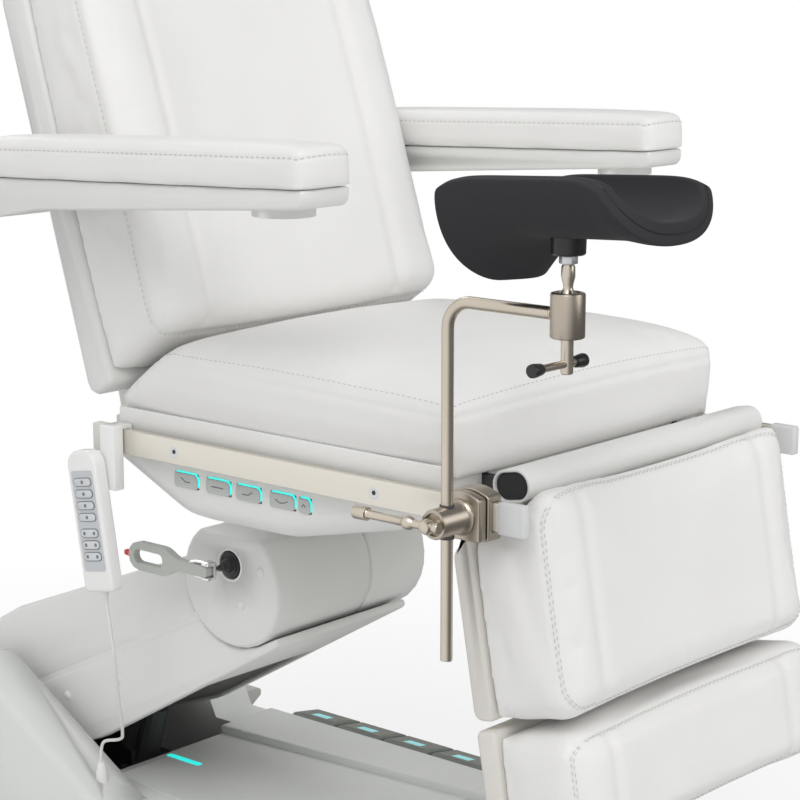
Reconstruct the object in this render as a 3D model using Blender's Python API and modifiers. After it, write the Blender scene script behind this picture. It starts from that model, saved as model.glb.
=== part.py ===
"""Powered examination table with a knee crutch on its side rail, as separate solids.

Frame: metres, +Z up, floor at Z = 0, foot end towards -Y, patient's right side towards -X.
"""
import math

import bmesh
import bpy
from mathutils import Matrix, Vector

# Fits
GAP = 0.0003
WALL = 0.004

# Base
PLATE_T = 0.012
BASE_HALF = 0.27
BASE_FRONT = -0.49
BASE_REAR = 0.57
COVER_INSET = 0.02
PLATEAU_Z = 0.098
FIN_TOP = 0.172
FAR_FIN_Y = 0.30
WELL_HALF = 0.165
CHEEK_T = 0.012
CHEEK_R = 0.032

# Foot pedals on the far side of the base
PEDAL_COUNT = 4
PEDAL_PITCH = 0.102
PEDAL_GAP = 0.008
PEDAL_REACH = 0.08
PEDAL_REAR_Y = 0.22
PEDAL_TOP_Z = 0.10
PEDAL_LOW_Z = 0.032
SHAFT_R = 0.006

# Lift arm between the base and the pivot housing
LIFT_Y = 0.45
LIFT_Z = 0.22
HOUSING_Y = -0.055
HOUSING_Z = 0.465
BEAM_HALF = 0.05
BEAM_DEPTH = 0.08
PIN_R = 0.016
ARM_HALF = 0.14
SEAM_N = -0.032
HOUSING_R = 0.095
HOUSING_HALF = 0.15
HOUSING_FAR = 0.175
HOUSING_SEAM_X = 0.052
HOUSING_FLAT = 0.07
ACTUATOR_R = 0.022
ACTUATOR_LUG = 0.20
ACTUATOR_DROP = 0.066
ACTUATOR_Y = 0.30
ACTUATOR_Z = 0.05

# Lock lever on the near end of the housing
LEVER_Y = -0.058
LEVER_RISE = 0.027
LEVER_LENGTH = 0.158
LEVER_OUT = 0.048

# Seat
SEAT_HALF = 0.30
SEAT_BULGE = 0.007
SEAT_WIDE = SEAT_HALF + SEAT_BULGE
SEAT_TUCK = 0.055
SEAT_RISE = 0.013
SEAT_FRONT = -0.60
SEAT_Z = 0.72
SEAT_SIDE = 0.092
SEAT_CROWN = 0.03
SEAT_REAR = 0.0435
PAN_HALF = 0.285
PAN_REAR = 0.045
PAN_FRONT = -0.575
PAN_DEPTH = 0.128
TILT_Z = 0.655
FRAME_X = 0.21
FRAME_W = 0.03
FRAME_H = 0.04

# Side rails
RAIL_GAP = 0.015
RAIL_IN = PAN_HALF + RAIL_GAP
RAIL_T = 0.010
RAIL_H = 0.035
RAIL_TOP = 0.7115
RAIL_FRONT = -0.675
RAIL_REAR = 0.015
CAP_FRONT = 0.040
CAP_REAR = 0.032
CAP_OVER = 0.0025
STUD_R = 0.008
STUD_YS = (-0.477, -0.115)

# Side keys
KEY_Z = 0.650
KEY_H = 0.021
KEY_YS = (-0.114, -0.176, -0.233, -0.296, -0.336)
KEY_WS = (0.046, 0.046, 0.046, 0.046, 0.022)
KEY_PROUD = 0.004

# Back
BACK_Y = 0.0155
BACK_DROP = 0.02
BACK_LEAN = math.radians(17.0)
BACK_REAR_N = -0.04
SHELL_N = 0.012
BACK_LOW_REAR = 0.05
BACK_LOW_FRONT = 0.112
BACK_TOP = 0.66
EAR_R = 0.0178
EAR_T = 0.018
HEAD_LOW = 0.672
HEAD_H = 0.20
HEAD_HALF = 0.17
HEAD_T = 0.10
POST_X = 0.07
POST_R = 0.007
POST_IN = 0.16

# Armrests
ARM_REACH = 0.062
ARM_X = SEAT_HALF + ARM_REACH
ARM_W = 0.11
ARM_TIP = -0.462
ARM_REAR = 0.17
ARM_Z = 1.0575
ARM_PAD_T = 0.046
ARM_BODY_T = 0.034
ARM_RISE = math.radians(2.0)
ARM_PIVOT_Y = 0.135
ARM_PIVOT_Z = 1.0275
ARM_DISC_Y = -0.376
ARM_DISC_R = 0.04
ARM_DISC_T = 0.004

# Leg rest
LEG_Y = -0.64
LEG_Z = 0.715
LEG_KICK = math.radians(10.0)
BAR_W = 0.058
BAR_H = 0.042
BAR_WALL = 0.0035
BAR_NEAR = -0.24
BAR_FAR = 0.29
LEG_PIN_R = 0.008
LEG_TOP = 0.046
LEG_LOW = 0.288
LEG_CLEAR = 0.012
LEG_HALF = RAIL_IN - LEG_CLEAR
LEG_REAR = -0.072
LEG_SPLIT = -0.042
LEG_FRONT = 0.076
LEG_SLANT = 0.45
FOOT_GAP = 0.012
FOOT_LENGTH = 0.168
SLIDE_X = 0.15
SLIDE_R = 0.009
SLIDE_IN = 0.19

# Knee crutch
CRUTCH_REACH = 0.060
CRUTCH_X = -(RAIL_IN + CRUTCH_REACH)
CRUTCH_Y = -0.638
ROD_R = 0.0075
ROD_LOW = 0.52
ROD_HIGH = 0.96
ROD_BEND = 0.034
SOCKET_Y = -0.812
SOCKET_R = 0.020
SOCKET_H = 0.052
BALL_R = 0.0135
STUD_NECK = 0.0055
STUD_BELLY = 0.0078
NUT_FLATS = 0.019
NUT_LOW = 1.018
NUT_H = 0.0097
BOSS_R = 0.020
BOSS_TOP = 1.052
PAD_LENGTH = 0.271
PAD_REAR = 0.126
PAD_HALF = 0.085
PAD_WALL = 0.017
PAD_FLOOR = 1.0655
PAD_NEAR_RIM = 1.120
PAD_FAR_RIM = 1.110
PAD_TILT = 0.0125
PAD_DROOP = 0.056
PAD_SETBACK = 0.045
PAD_NOSE_NEAR = 0.038
PAD_NOSE_FAR = 0.018
SCREW_R = 0.00725
SCREW_LOW = 0.893
TOMMY_Z = 0.905
TOMMY_R = 0.005
TOMMY_NEAR = 0.063
TOMMY_FAR = 0.030
TOMMY_CAP = 0.015
TOMMY_CAP_R = 0.0083
CLAMP_W = 0.060
CLAMP_H = 0.060
CLAMP_OUT = 0.0247
CLAMP_LIP = 0.0065
CLAMP_Z = 0.694
CLAMP_BOSS_R = 0.0185
CLAMP_BOSS_OUT = 0.026
CLAMP_BOSS_X = CRUTCH_X - CLAMP_BOSS_OUT
CLAMP_SCREW_R = 0.006
CLAMP_HEAD_R = 0.0095
CLAMP_HEAD = 0.019
CLAMP_BAR_R = 0.0055
CLAMP_BAR = 0.115
CLAMP_KNOB_R = 0.0085

# Handset and its cord
HAND_REACH = 0.040
HAND_X = -(RAIL_IN + HAND_REACH)
HAND_Y = 0.016
HAND_Z = 0.5825
HAND_L = 0.20
HAND_W = 0.06
HAND_T = 0.022
HAND_TILT = math.radians(10.0)
HOLDER_W = 0.03
CORD_R = 0.0024
GLAND_IN = 0.065
GLAND_X = -(BASE_HALF - GLAND_IN)
GLAND_Y = 0.17
GLAND_R = 0.009
GLAND_LOW = 0.100
GLAND_H = 0.054
CORD_STEP = 0.015

# Finishes: colour, roughness, metallic
UPHOLSTERY = ((0.80, 0.79, 0.76), 0.45, 0.0)
SHELL_GREY = ((0.60, 0.61, 0.57), 0.40, 0.0)
SHELL_WARM = ((0.68, 0.65, 0.58), 0.40, 0.0)
WHITE_PLASTIC = ((0.86, 0.86, 0.84), 0.35, 0.0)
DARK_STEEL = ((0.06, 0.06, 0.065), 0.45, 0.8)
RAIL_STEEL = ((0.72, 0.68, 0.60), 0.30, 1.0)
NICKEL = ((0.62, 0.57, 0.48), 0.32, 1.0)
ZINC = ((0.66, 0.67, 0.68), 0.35, 1.0)
CHROME = ((0.80, 0.80, 0.80), 0.10, 1.0)
BLACK_PU = ((0.02, 0.02, 0.022), 0.50, 0.0)
KEY_GREY = ((0.35, 0.37, 0.35), 0.45, 0.0)
PEDAL_GREY = ((0.18, 0.20, 0.17), 0.55, 0.0)

# Values that follow from the sizes above
LIFT_LEN = math.hypot(LIFT_Y - HOUSING_Y, HOUSING_Z - LIFT_Z)
LIFT_ANGLE = math.atan2(HOUSING_Z - LIFT_Z, LIFT_Y - HOUSING_Y)
HOUSING_TOP = HOUSING_Z + HOUSING_FLAT
SEAT_TOP = SEAT_Z + SEAT_SIDE + SEAT_CROWN
FRAME_TOP = SEAT_Z - GAP
BACK_Z = SEAT_Z - BACK_DROP
BACK_FRONT = SEAT_TOP - BACK_Z
RAIL_Z = RAIL_TOP - RAIL_H / 2
LEVER_Z = HOUSING_Z + LEVER_RISE
SOCKET_LOW = ROD_HIGH - SOCKET_H / 2
SOCKET_TOP = ROD_HIGH + SOCKET_H / 2
BALL_Z = SOCKET_TOP - BALL_R
SIDE = Matrix(((0, 0, 1, 0), (1, 0, 0, 0), (0, 1, 0, 0), (0, 0, 0, 1)))
FRONT = Matrix(((1, 0, 0, 0), (0, 0, 1, 0), (0, 1, 0, 0), (0, 0, 0, 1)))
FLAT = Matrix.Identity(4)

for old in list(bpy.data.objects):
    bpy.data.objects.remove(old, do_unlink=True)
PARTS = bpy.data.collections.new("examination_table")
CUTTERS = bpy.data.collections.new("examination_table_cutters")
bpy.context.scene.collection.children.link(PARTS)
bpy.context.scene.collection.children.link(CUTTERS)


def side_frame(y, z, along):
    """Frame in the YZ plane: first axis at the angle along from +Y, second axis square to it."""
    c, s = math.cos(along), math.sin(along)
    return Matrix(((0, 0, 1, 0), (c, -s, 0, y), (s, c, 0, z), (0, 0, 0, 1)))


def arm_frame():
    """Frame of the lift arm: first axis from the base pivot to the housing, second axis up."""
    c, s = math.cos(LIFT_ANGLE), math.sin(LIFT_ANGLE)
    return Matrix(((0, 0, 1, 0), (-c, s, 0, LIFT_Y), (s, c, 0, LIFT_Z), (0, 0, 0, 1)))


def back_frame():
    """Frame of the back: first axis up the back from its hinge, second axis out of its front."""
    c, s = math.cos(BACK_LEAN), math.sin(BACK_LEAN)
    return Matrix(((0, 0, 1, 0), (s, -c, 0, BACK_Y), (c, s, 0, BACK_Z), (0, 0, 0, 1)))


def leg_frame():
    """Frame of the leg rest: first axis down the leg from its hinge, second axis out of its front."""
    c, s = math.cos(LEG_KICK), math.sin(LEG_KICK)
    return Matrix(((0, 0, 1, 0), (-s, -c, 0, LEG_Y), (-c, s, 0, LEG_Z), (0, 0, 0, 1)))


def place(name, mesh):
    """Put a mesh in the parts collection as an object."""
    obj = bpy.data.objects.new(name, mesh)
    PARTS.objects.link(obj)
    return obj


def settle(name, bm, frame=FLAT, weld=1e-6):
    """Turn an edit mesh into a placed object with its faces pointing out."""
    bmesh.ops.transform(bm, matrix=frame, verts=bm.verts)
    bmesh.ops.remove_doubles(bm, verts=bm.verts, dist=weld)
    bmesh.ops.recalc_face_normals(bm, faces=bm.faces)
    mesh = bpy.data.meshes.new(name)
    bm.to_mesh(mesh)
    bm.free()
    return place(name, mesh)


def round_edges(obj, width, segments=2, angle=40.0):
    """Round an object's sharp edges."""
    mod = obj.modifiers.new("edges", "BEVEL")
    mod.width = width
    mod.segments = segments
    mod.limit_method = "ANGLE"
    mod.angle_limit = math.radians(angle)
    return obj


def block(name, low, high, frame=FLAT, bevel=0.0, segments=2):
    """Box between two corners."""
    low, high = Vector(low), Vector(high)
    bm = bmesh.new()
    bmesh.ops.create_cube(bm, size=1.0)
    size = Matrix.Diagonal((*(high - low), 1.0))
    bmesh.ops.transform(bm, matrix=Matrix.Translation((low + high) / 2) @ size, verts=bm.verts)
    obj = settle(name, bm, frame)
    return round_edges(obj, bevel, segments) if bevel else obj


def rod(name, start, end, radius, tip=None, sides=12):
    """Round bar or cone between two points."""
    start, end = Vector(start), Vector(end)
    span = end - start
    turn = span.to_track_quat("Z", "Y").to_matrix().to_4x4()
    bm = bmesh.new()
    bmesh.ops.create_cone(bm, cap_ends=True, segments=sides, radius1=radius,
                          radius2=radius if tip is None else tip, depth=span.length)
    return settle(name, bm, Matrix.Translation((start + end) / 2) @ turn)


def bore(name, start, end, radius, sides=16):
    """Hole for a bar that turns in it: the hole's flats clear the bar's corners."""
    return rod(name, start, end, (radius + GAP) / math.cos(math.pi / sides), sides=sides)


def ball(name, centre, radius):
    """Sphere."""
    bm = bmesh.new()
    bmesh.ops.create_uvsphere(bm, u_segments=14, v_segments=8, radius=radius)
    return settle(name, bm, Matrix.Translation(centre))


def rounded(corners, steps=3):
    """Outline with each corner (u, v, radius) rounded by an arc."""
    points = []
    count = len(corners)
    for i, (u, v, r) in enumerate(corners):
        here = Vector((u, v))
        if r <= 0:
            points.append(here)
            continue
        before = (Vector(corners[i - 1][:2]) - here)
        after = (Vector(corners[(i + 1) % count][:2]) - here)
        d1, d2 = before.normalized(), after.normalized()
        half = d1.angle(d2) / 2
        run = min(r / math.tan(half), before.length * 0.499, after.length * 0.499)
        arc = run * math.tan(half)
        centre = here + (d1 + d2).normalized() * arc / math.sin(half)
        a, b = here + d1 * run - centre, here + d2 * run - centre
        turn = math.atan2(a.x * b.y - a.y * b.x, a.dot(b))
        for k in range(steps + 1):
            t = turn * k / steps
            c, s = math.cos(t), math.sin(t)
            points.append(centre + Vector((a.x * c - a.y * s, a.x * s + a.y * c)))
    return points


def prism(name, corners, low, high, frame=SIDE, steps=3, bevel=0.0, segments=2):
    """Flat outline with rounded corners, extruded between two depths."""
    points = rounded(corners, steps)
    curve = bpy.data.curves.new(name, "CURVE")
    curve.dimensions = "2D"
    curve.fill_mode = "BOTH"
    curve.extrude = (high - low) / 2
    spline = curve.splines.new("POLY")
    spline.points.add(len(points) - 1)
    for point, co in zip(spline.points, points):
        point.co = (co.x, co.y, 0.0, 1.0)
    spline.use_cyclic_u = True
    outline = bpy.data.objects.new(name, curve)
    PARTS.objects.link(outline)
    bpy.context.view_layer.update()
    graph = bpy.context.evaluated_depsgraph_get()
    flat = bpy.data.meshes.new_from_object(outline.evaluated_get(graph))
    bpy.data.objects.remove(outline, do_unlink=True)
    bm = bmesh.new()
    bm.from_mesh(flat)
    bpy.data.meshes.remove(flat)
    bmesh.ops.remove_doubles(bm, verts=bm.verts, dist=1e-6)
    bmesh.ops.dissolve_limit(bm, angle_limit=math.radians(0.5), verts=bm.verts, edges=bm.edges)
    obj = settle(name, bm, frame @ Matrix.Translation((0, 0, (low + high) / 2)))
    return round_edges(obj, bevel, segments) if bevel else obj


def turned(name, profile, base, axis=(0, 0, 1), steps=16):
    """Turned solid: profile of (radius, height) from the top down, closed on its axis."""
    mesh = bpy.data.meshes.new(name)
    mesh.from_pydata([(r, 0.0, h) for r, h in profile], [(i, i + 1) for i in range(len(profile) - 1)], [])
    obj = place(name, mesh)
    mod = obj.modifiers.new("turn", "SCREW")
    mod.steps = mod.render_steps = steps
    mod.use_merge_vertices = True
    mod.merge_threshold = 1e-5
    obj.rotation_euler = Vector(axis).to_track_quat("Z", "Y").to_euler()
    obj.location = base
    return obj


def boolean(target, tools, operation, solver="EXACT"):
    """Cut tools from a target, or join them to it."""
    for tool in tools:
        PARTS.objects.unlink(tool)
        CUTTERS.objects.link(tool)
        tool.hide_render = True
        tool.display_type = "WIRE"
        mod = target.modifiers.new(tool.name, "BOOLEAN")
        mod.operation = operation
        mod.solver = solver
        mod.object = tool
    return target


def cut(target, *tools):
    """Cut the tools from the target."""
    return boolean(target, tools, "DIFFERENCE")


def join(target, *tools):
    """Join the tools to the target."""
    return boolean(target, tools, "UNION")


def spread(t, power):
    """Move an even grid value towards the edges."""
    return math.copysign(1.0 - (1.0 - abs(t)) ** power, t)


def cushion(name, cuts, shape, power=2.2):
    """Soft form: a subdivided cube shaped by a rule, then smoothed once."""
    bm = bmesh.new()
    bmesh.ops.create_cube(bm, size=2.0)
    bmesh.ops.subdivide_edges(bm, edges=bm.edges[:], cuts=cuts, use_grid_fill=True)
    for vert in bm.verts:
        u, v, w = (spread(value, power) for value in vert.co)
        vert.co = shape(u, v, w)
    obj = settle(name, bm)
    mod = obj.modifiers.new("soft", "SUBSURF")
    mod.levels = mod.render_levels = 1
    return obj


def plump(u, v, w, draw=0.012, corner=0.10):
    """Plan factors of a cushion: round corners, sides drawn in at mid height."""
    waist = 1.0 - draw * (1.0 - w * w)
    across = u * math.sqrt(1.0 - corner * v * v) * waist
    along = v * math.sqrt(1.0 - corner * u * u) * waist
    return across, along


def tube(name, points, radius):
    """Round tube along points, as a curve."""
    curve = bpy.data.curves.new(name, "CURVE")
    curve.dimensions = "3D"
    curve.bevel_depth = radius
    curve.bevel_resolution = 2
    curve.use_fill_caps = True
    spline = curve.splines.new("POLY")
    spline.points.add(len(points) - 1)
    for point, co in zip(spline.points, points):
        point.co = (*co, 1.0)
    obj = bpy.data.objects.new(name, curve)
    PARTS.objects.link(obj)
    return obj


def tube_mesh(name, points, radius):
    """Round tube along points, as a closed mesh that can be joined or cut."""
    line = tube(name, points, radius)
    bpy.context.view_layer.update()
    graph = bpy.context.evaluated_depsgraph_get()
    shape = bpy.data.meshes.new_from_object(line.evaluated_get(graph))
    bpy.data.objects.remove(line, do_unlink=True)
    bm = bmesh.new()
    bm.from_mesh(shape)
    bpy.data.meshes.remove(shape)
    return settle(name, bm, weld=1e-5)


def smooth_path(points, step):
    """Even points along a smooth curve through the route points."""
    route = [Vector(p) for p in points]
    ends = [route[0] * 2 - route[1]] + route + [route[-1] * 2 - route[-2]]
    fine = []
    for a, b, c, d in zip(ends, ends[1:], ends[2:], ends[3:]):
        for k in range(20):
            t = k / 20
            fine.append(0.5 * (2 * b + (c - a) * t + (2 * a - 5 * b + 4 * c - d) * t * t
                               + (3 * b - a - 3 * c + d) * t ** 3))
    fine.append(route[-1])
    kept = [fine[0]]
    for p in fine[1:-1]:
        if (p - kept[-1]).length >= step and (p - fine[-1]).length > step * 0.6:
            kept.append(p)
    return kept + [fine[-1]]


def hang(name, position, *objects):
    """Parent a moving body's pieces to an empty on its joint axis."""
    empty = bpy.data.objects.new(name, None)
    empty.location = position
    PARTS.objects.link(empty)
    for obj in objects:
        obj.parent = empty
        obj.matrix_parent_inverse = Matrix.Translation(-Vector(position))
    return empty


def finish(look, *objects):
    """Give each object its own material, and smooth its round faces."""
    colour, rough, metal = look
    for obj in objects:
        mat = bpy.data.materials.new(obj.name)
        mat.use_nodes = True
        shader = mat.node_tree.nodes["Principled BSDF"]
        shader.inputs["Base Color"].default_value = (*colour, 1.0)
        shader.inputs["Roughness"].default_value = rough
        shader.inputs["Metallic"].default_value = metal
        obj.data.materials.append(mat)
        if obj.type == "MESH":
            obj.data.shade_smooth()
            obj.data.set_sharp_from_angle(angle=math.radians(35.0))
        else:
            for spline in obj.data.splines:
                spline.use_smooth = True


# Base plate with the lift cheeks and the pedal shaft
shaft_x = BASE_HALF - COVER_INSET + 0.018
shaft_z = (PEDAL_TOP_Z + PEDAL_LOW_Z) / 2
pedal_front_y = PEDAL_REAR_Y - PEDAL_COUNT * PEDAL_PITCH
tongue_x = BASE_HALF - COVER_INSET + PEDAL_REACH + 0.012
rear_pedal_y = PEDAL_REAR_Y + 0.17
tongue_rear = rear_pedal_y + 0.065
base_plate = prism("base_plate", [
    (-BASE_HALF, BASE_FRONT, 0.06), (BASE_HALF, BASE_FRONT, 0.06),
    (BASE_HALF, pedal_front_y - 0.05, 0.0), (tongue_x, pedal_front_y - 0.03, 0.015),
    (tongue_x, tongue_rear, 0.015), (BASE_HALF, tongue_rear + 0.02, 0.0),
    (BASE_HALF, BASE_REAR, 0.06), (-BASE_HALF, BASE_REAR, 0.06)], 0.0, PLATE_T, FLAT)
cheek_low = PLATE_T / 2
cheek_outline = [(LIFT_Y - 0.07, cheek_low, 0.0), (LIFT_Y + 0.07, cheek_low, 0.0),
                 (LIFT_Y + CHEEK_R, LIFT_Z + CHEEK_R, CHEEK_R * 0.95),
                 (LIFT_Y - CHEEK_R, LIFT_Z + CHEEK_R, CHEEK_R * 0.95)]
cheek_in = BEAM_HALF + GAP
cheeks = [prism(f"cheek_{side}", cheek_outline, low, low + CHEEK_T) for side, low in
          (("far", cheek_in), ("near", -cheek_in - CHEEK_T))]
shaft_ys = (pedal_front_y - 0.012, tongue_rear - 0.012)
shaft = rod("pedal_shaft", (shaft_x, shaft_ys[0], shaft_z), (shaft_x, shaft_ys[1], shaft_z), SHAFT_R)
posts = [block(f"shaft_post_{i}", (shaft_x - 0.012, y - 0.005, cheek_low),
               (shaft_x + 0.012, y + 0.005, shaft_z + 0.012))
         for i, y in enumerate((shaft_ys[0], PEDAL_REAR_Y + 0.02, shaft_ys[1]))]
actuator_ears = [block(f"actuator_ear_{i}", (x, ACTUATOR_Y - 0.02, cheek_low),
                       (x + 0.008, ACTUATOR_Y + 0.02, ACTUATOR_Z + 0.014))
                 for i, x in enumerate((ACTUATOR_R + 0.002, -ACTUATOR_R - 0.010))]
actuator_pin = rod("actuator_pin", (-ACTUATOR_R - 0.006, ACTUATOR_Y, ACTUATOR_Z),
                   (ACTUATOR_R + 0.006, ACTUATOR_Y, ACTUATOR_Z), 0.008)
join(base_plate, *cheeks, shaft, *posts, *actuator_ears, actuator_pin)
lift_bores = [rod(f"bore_{i}", (x0, LIFT_Y, LIFT_Z), (x1, LIFT_Y, LIFT_Z), PIN_R + GAP)
              for i, (x0, x1) in enumerate(((cheek_in - 0.004, cheek_in + CHEEK_T + 0.004),
                                            (-cheek_in - CHEEK_T - 0.004, -cheek_in + 0.004)))]
cut(base_plate, *lift_bores)
lift_pin = rod("lift_pin", (-cheek_in - CHEEK_T - 0.008, LIFT_Y, LIFT_Z),
               (cheek_in + CHEEK_T + 0.008, LIFT_Y, LIFT_Z), PIN_R)

# Base cover: low nose, flat plateau, two fins beside the lift arm
cover_half = BASE_HALF - COVER_INSET
cover_low = PLATE_T + GAP
cover_front = BASE_FRONT + COVER_INSET
cover_rear = BASE_REAR - COVER_INSET / 2
fin_start = LIFT_Y - 0.33
base_cover = prism("base_cover", [
    (cover_front, cover_low, 0.0), (cover_front, cover_low + 0.05, 0.03),
    (cover_front + 0.10, PLATEAU_Z, 0.10), (fin_start, PLATEAU_Z, 0.04),
    (LIFT_Y - 0.03, PLATEAU_Z + FIN_TOP, 0.06), (cover_rear - 0.03, PLATEAU_Z + FIN_TOP - 0.02, 0.05),
    (cover_rear, cover_low, 0.0)], -cover_half, cover_half, bevel=0.012, segments=2)
cut(base_cover,
    block("well", (-WELL_HALF, LIFT_Y - 0.215, -0.01), (WELL_HALF, cover_rear - 0.024, 1.0)),
    block("well_top", (-WELL_HALF, fin_start - 0.02, PLATEAU_Z), (WELL_HALF, cover_rear - 0.024, 1.0)),
    rod("gland_pocket", (GLAND_X, GLAND_Y, GLAND_LOW - GAP), (GLAND_X, GLAND_Y, 0.3), GLAND_R + GAP,
        sides=16),
    block("cover_hollow", (-cover_half + 0.02, cover_front + 0.04, -0.01),
          (cover_half - 0.02, fin_start - 0.13, PLATEAU_Z - 0.04)),
    *[block(f"fin_hollow_{i}", (x, fin_start - 0.02, -0.01),
            (x + cover_half - WELL_HALF - 0.02, LIFT_Y + 0.04, PLATEAU_Z - 0.02))
      for i, x in enumerate((WELL_HALF + 0.01, -cover_half + 0.01))],
    *[block(f"side_slope_{i}", (0.0, -1.0, 0.0), (0.3, 0.0, 0.2),
            Matrix.Translation((s * (cover_half - 0.095), fin_start - 0.03,
                                PLATEAU_Z)) @ Matrix.Rotation(s * math.radians(12.0), 4, "Y")
            @ Matrix.Diagonal((s, 1.0, 1.0, 1.0))) for i, s in enumerate((1.0, -1.0))],
    prism("far_fin_cut", [(fin_start - 0.03, PLATEAU_Z, 0.0), (FAR_FIN_Y, PLATEAU_Z, 0.0),
                          (FAR_FIN_Y + 0.10, 0.30, 0.0),
                          (fin_start - 0.03, 0.30, 0.0)], WELL_HALF - 0.001, cover_half + 0.01))

# Foot pedals
pedal_in = cover_half + 0.004
pedals = []
for i in range(PEDAL_COUNT):
    rear = PEDAL_REAR_Y - i * PEDAL_PITCH
    pedal = prism(f"pedal_{i + 1}", [
        (pedal_in, PEDAL_LOW_Z, 0.004), (pedal_in + PEDAL_REACH, PEDAL_LOW_Z, 0.006),
        (pedal_in + PEDAL_REACH, PEDAL_TOP_Z - 0.012, 0.012), (pedal_in + 0.012, PEDAL_TOP_Z, 0.008),
        (pedal_in, PEDAL_TOP_Z - 0.01, 0.004)],
        rear - PEDAL_PITCH + PEDAL_GAP / 2, rear - PEDAL_GAP / 2, FRONT, steps=3)
    cut(pedal, rod(f"pedal_bore_{i}", (shaft_x, rear - PEDAL_PITCH - 0.01, shaft_z),
                   (shaft_x, rear + 0.01, shaft_z), SHAFT_R + GAP))
    pedals.append(pedal)
rear_pedal = prism("rear_pedal", [
    (pedal_in, shaft_z - 0.014, 0.004), (pedal_in + 0.034, shaft_z - 0.014, 0.004),
    (pedal_in + PEDAL_REACH, PEDAL_TOP_Z - 0.018, 0.004),
    (pedal_in + PEDAL_REACH, PEDAL_TOP_Z - 0.006, 0.005),
    (pedal_in, PEDAL_TOP_Z, 0.006)], rear_pedal_y - 0.03, rear_pedal_y + 0.03, FRONT, steps=3)
cut(rear_pedal, rod("rear_pedal_bore", (shaft_x, rear_pedal_y - 0.05, shaft_z),
                    (shaft_x, rear_pedal_y + 0.05, shaft_z), SHAFT_R + GAP))

# Lift beam with its housing trunnion and the actuator lug
ARM = arm_frame()
end_r = BEAM_DEPTH / 2
lift_beam = prism("lift_beam", [
    (-end_r, -end_r, end_r * 0.98), (LIFT_LEN + end_r, -end_r, end_r * 0.98),
    (LIFT_LEN + end_r, end_r, end_r * 0.98), (-end_r, end_r, end_r * 0.98)], -BEAM_HALF, BEAM_HALF, ARM,
    steps=8)
lug_x = ACTUATOR_R - 0.006
lug_pin = ARM @ Vector((ACTUATOR_LUG, -ACTUATOR_DROP, 0.0))
trunnion = rod("trunnion", (-HOUSING_HALF + 0.05, HOUSING_Y, HOUSING_Z),
               (HOUSING_HALF - 0.05, HOUSING_Y, HOUSING_Z), PIN_R + 0.002)
lugs = [block(f"lift_lug_{i}", (ACTUATOR_LUG - 0.014, -ACTUATOR_DROP - 0.012, x),
              (ACTUATOR_LUG + 0.014, -end_r + 0.01, x + 0.008), ARM)
        for i, x in enumerate((lug_x, -lug_x - 0.008))]
lift_lug_pin = rod("lift_lug_pin", lug_pin - Vector((lug_x + 0.004, 0, 0)),
                   lug_pin + Vector((lug_x + 0.004, 0, 0)), 0.006)
join(lift_beam, trunnion, *lugs, lift_lug_pin)
cut(lift_beam, bore("lift_bore", (-BEAM_HALF - 0.01, LIFT_Y, LIFT_Z), (BEAM_HALF + 0.01, LIFT_Y, LIFT_Z),
                    PIN_R))

# Lift actuator: motor and tube on the base, rod on the arm's lug
act_base = Vector((0.0, ACTUATOR_Y, ACTUATOR_Z))
act_dir = (Vector(lug_pin) - act_base).normalized()
act_len = (Vector(lug_pin) - act_base).length
act_side = act_dir.cross(Vector((1, 0, 0))).normalized()
tube_top = act_len * 0.60
rod_low = act_len * 0.38
lift_actuator = rod("lift_actuator", act_base + act_dir * 0.012, act_base + act_dir * tube_top,
                    ACTUATOR_R * 0.9)
join(lift_actuator, rod("actuator_eye", (-ACTUATOR_R + 0.002, ACTUATOR_Y, ACTUATOR_Z),
                        (ACTUATOR_R - 0.002, ACTUATOR_Y, ACTUATOR_Z), 0.016),
     rod("actuator_motor", act_base + act_dir * 0.03 + act_side * 0.036,
         act_base + act_dir * 0.125 + act_side * 0.036, ACTUATOR_R * 0.85))
cut(lift_actuator, rod("actuator_eye_bore", (-0.05, ACTUATOR_Y, ACTUATOR_Z), (0.05, ACTUATOR_Y, ACTUATOR_Z),
                       0.008 + GAP),
    rod("actuator_bore", act_base + act_dir * 0.020, act_base + act_dir * (tube_top + 0.01), 0.011 + GAP))
lift_rod = rod("lift_rod", act_base + act_dir * rod_low, act_base + act_dir * (act_len - 0.006), 0.011)
rod_eye = rod("rod_eye", lug_pin - Vector((lug_x - 0.001, 0, 0)), lug_pin + Vector((lug_x - 0.001, 0, 0)),
              0.015)
join(lift_rod, rod_eye)
cut(lift_rod, rod("rod_eye_bore", lug_pin - Vector((0.05, 0, 0)), lug_pin + Vector((0.05, 0, 0)), 0.0105))

# Arm covers, round the beam up to the housing
clear_r = HOUSING_R + 0.006


def round_housing(n):
    """Place along the arm where a line at height n meets the clearance round the housing."""
    return LIFT_LEN - math.sqrt(max(clear_r ** 2 - n ** 2, 1e-9))


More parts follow.
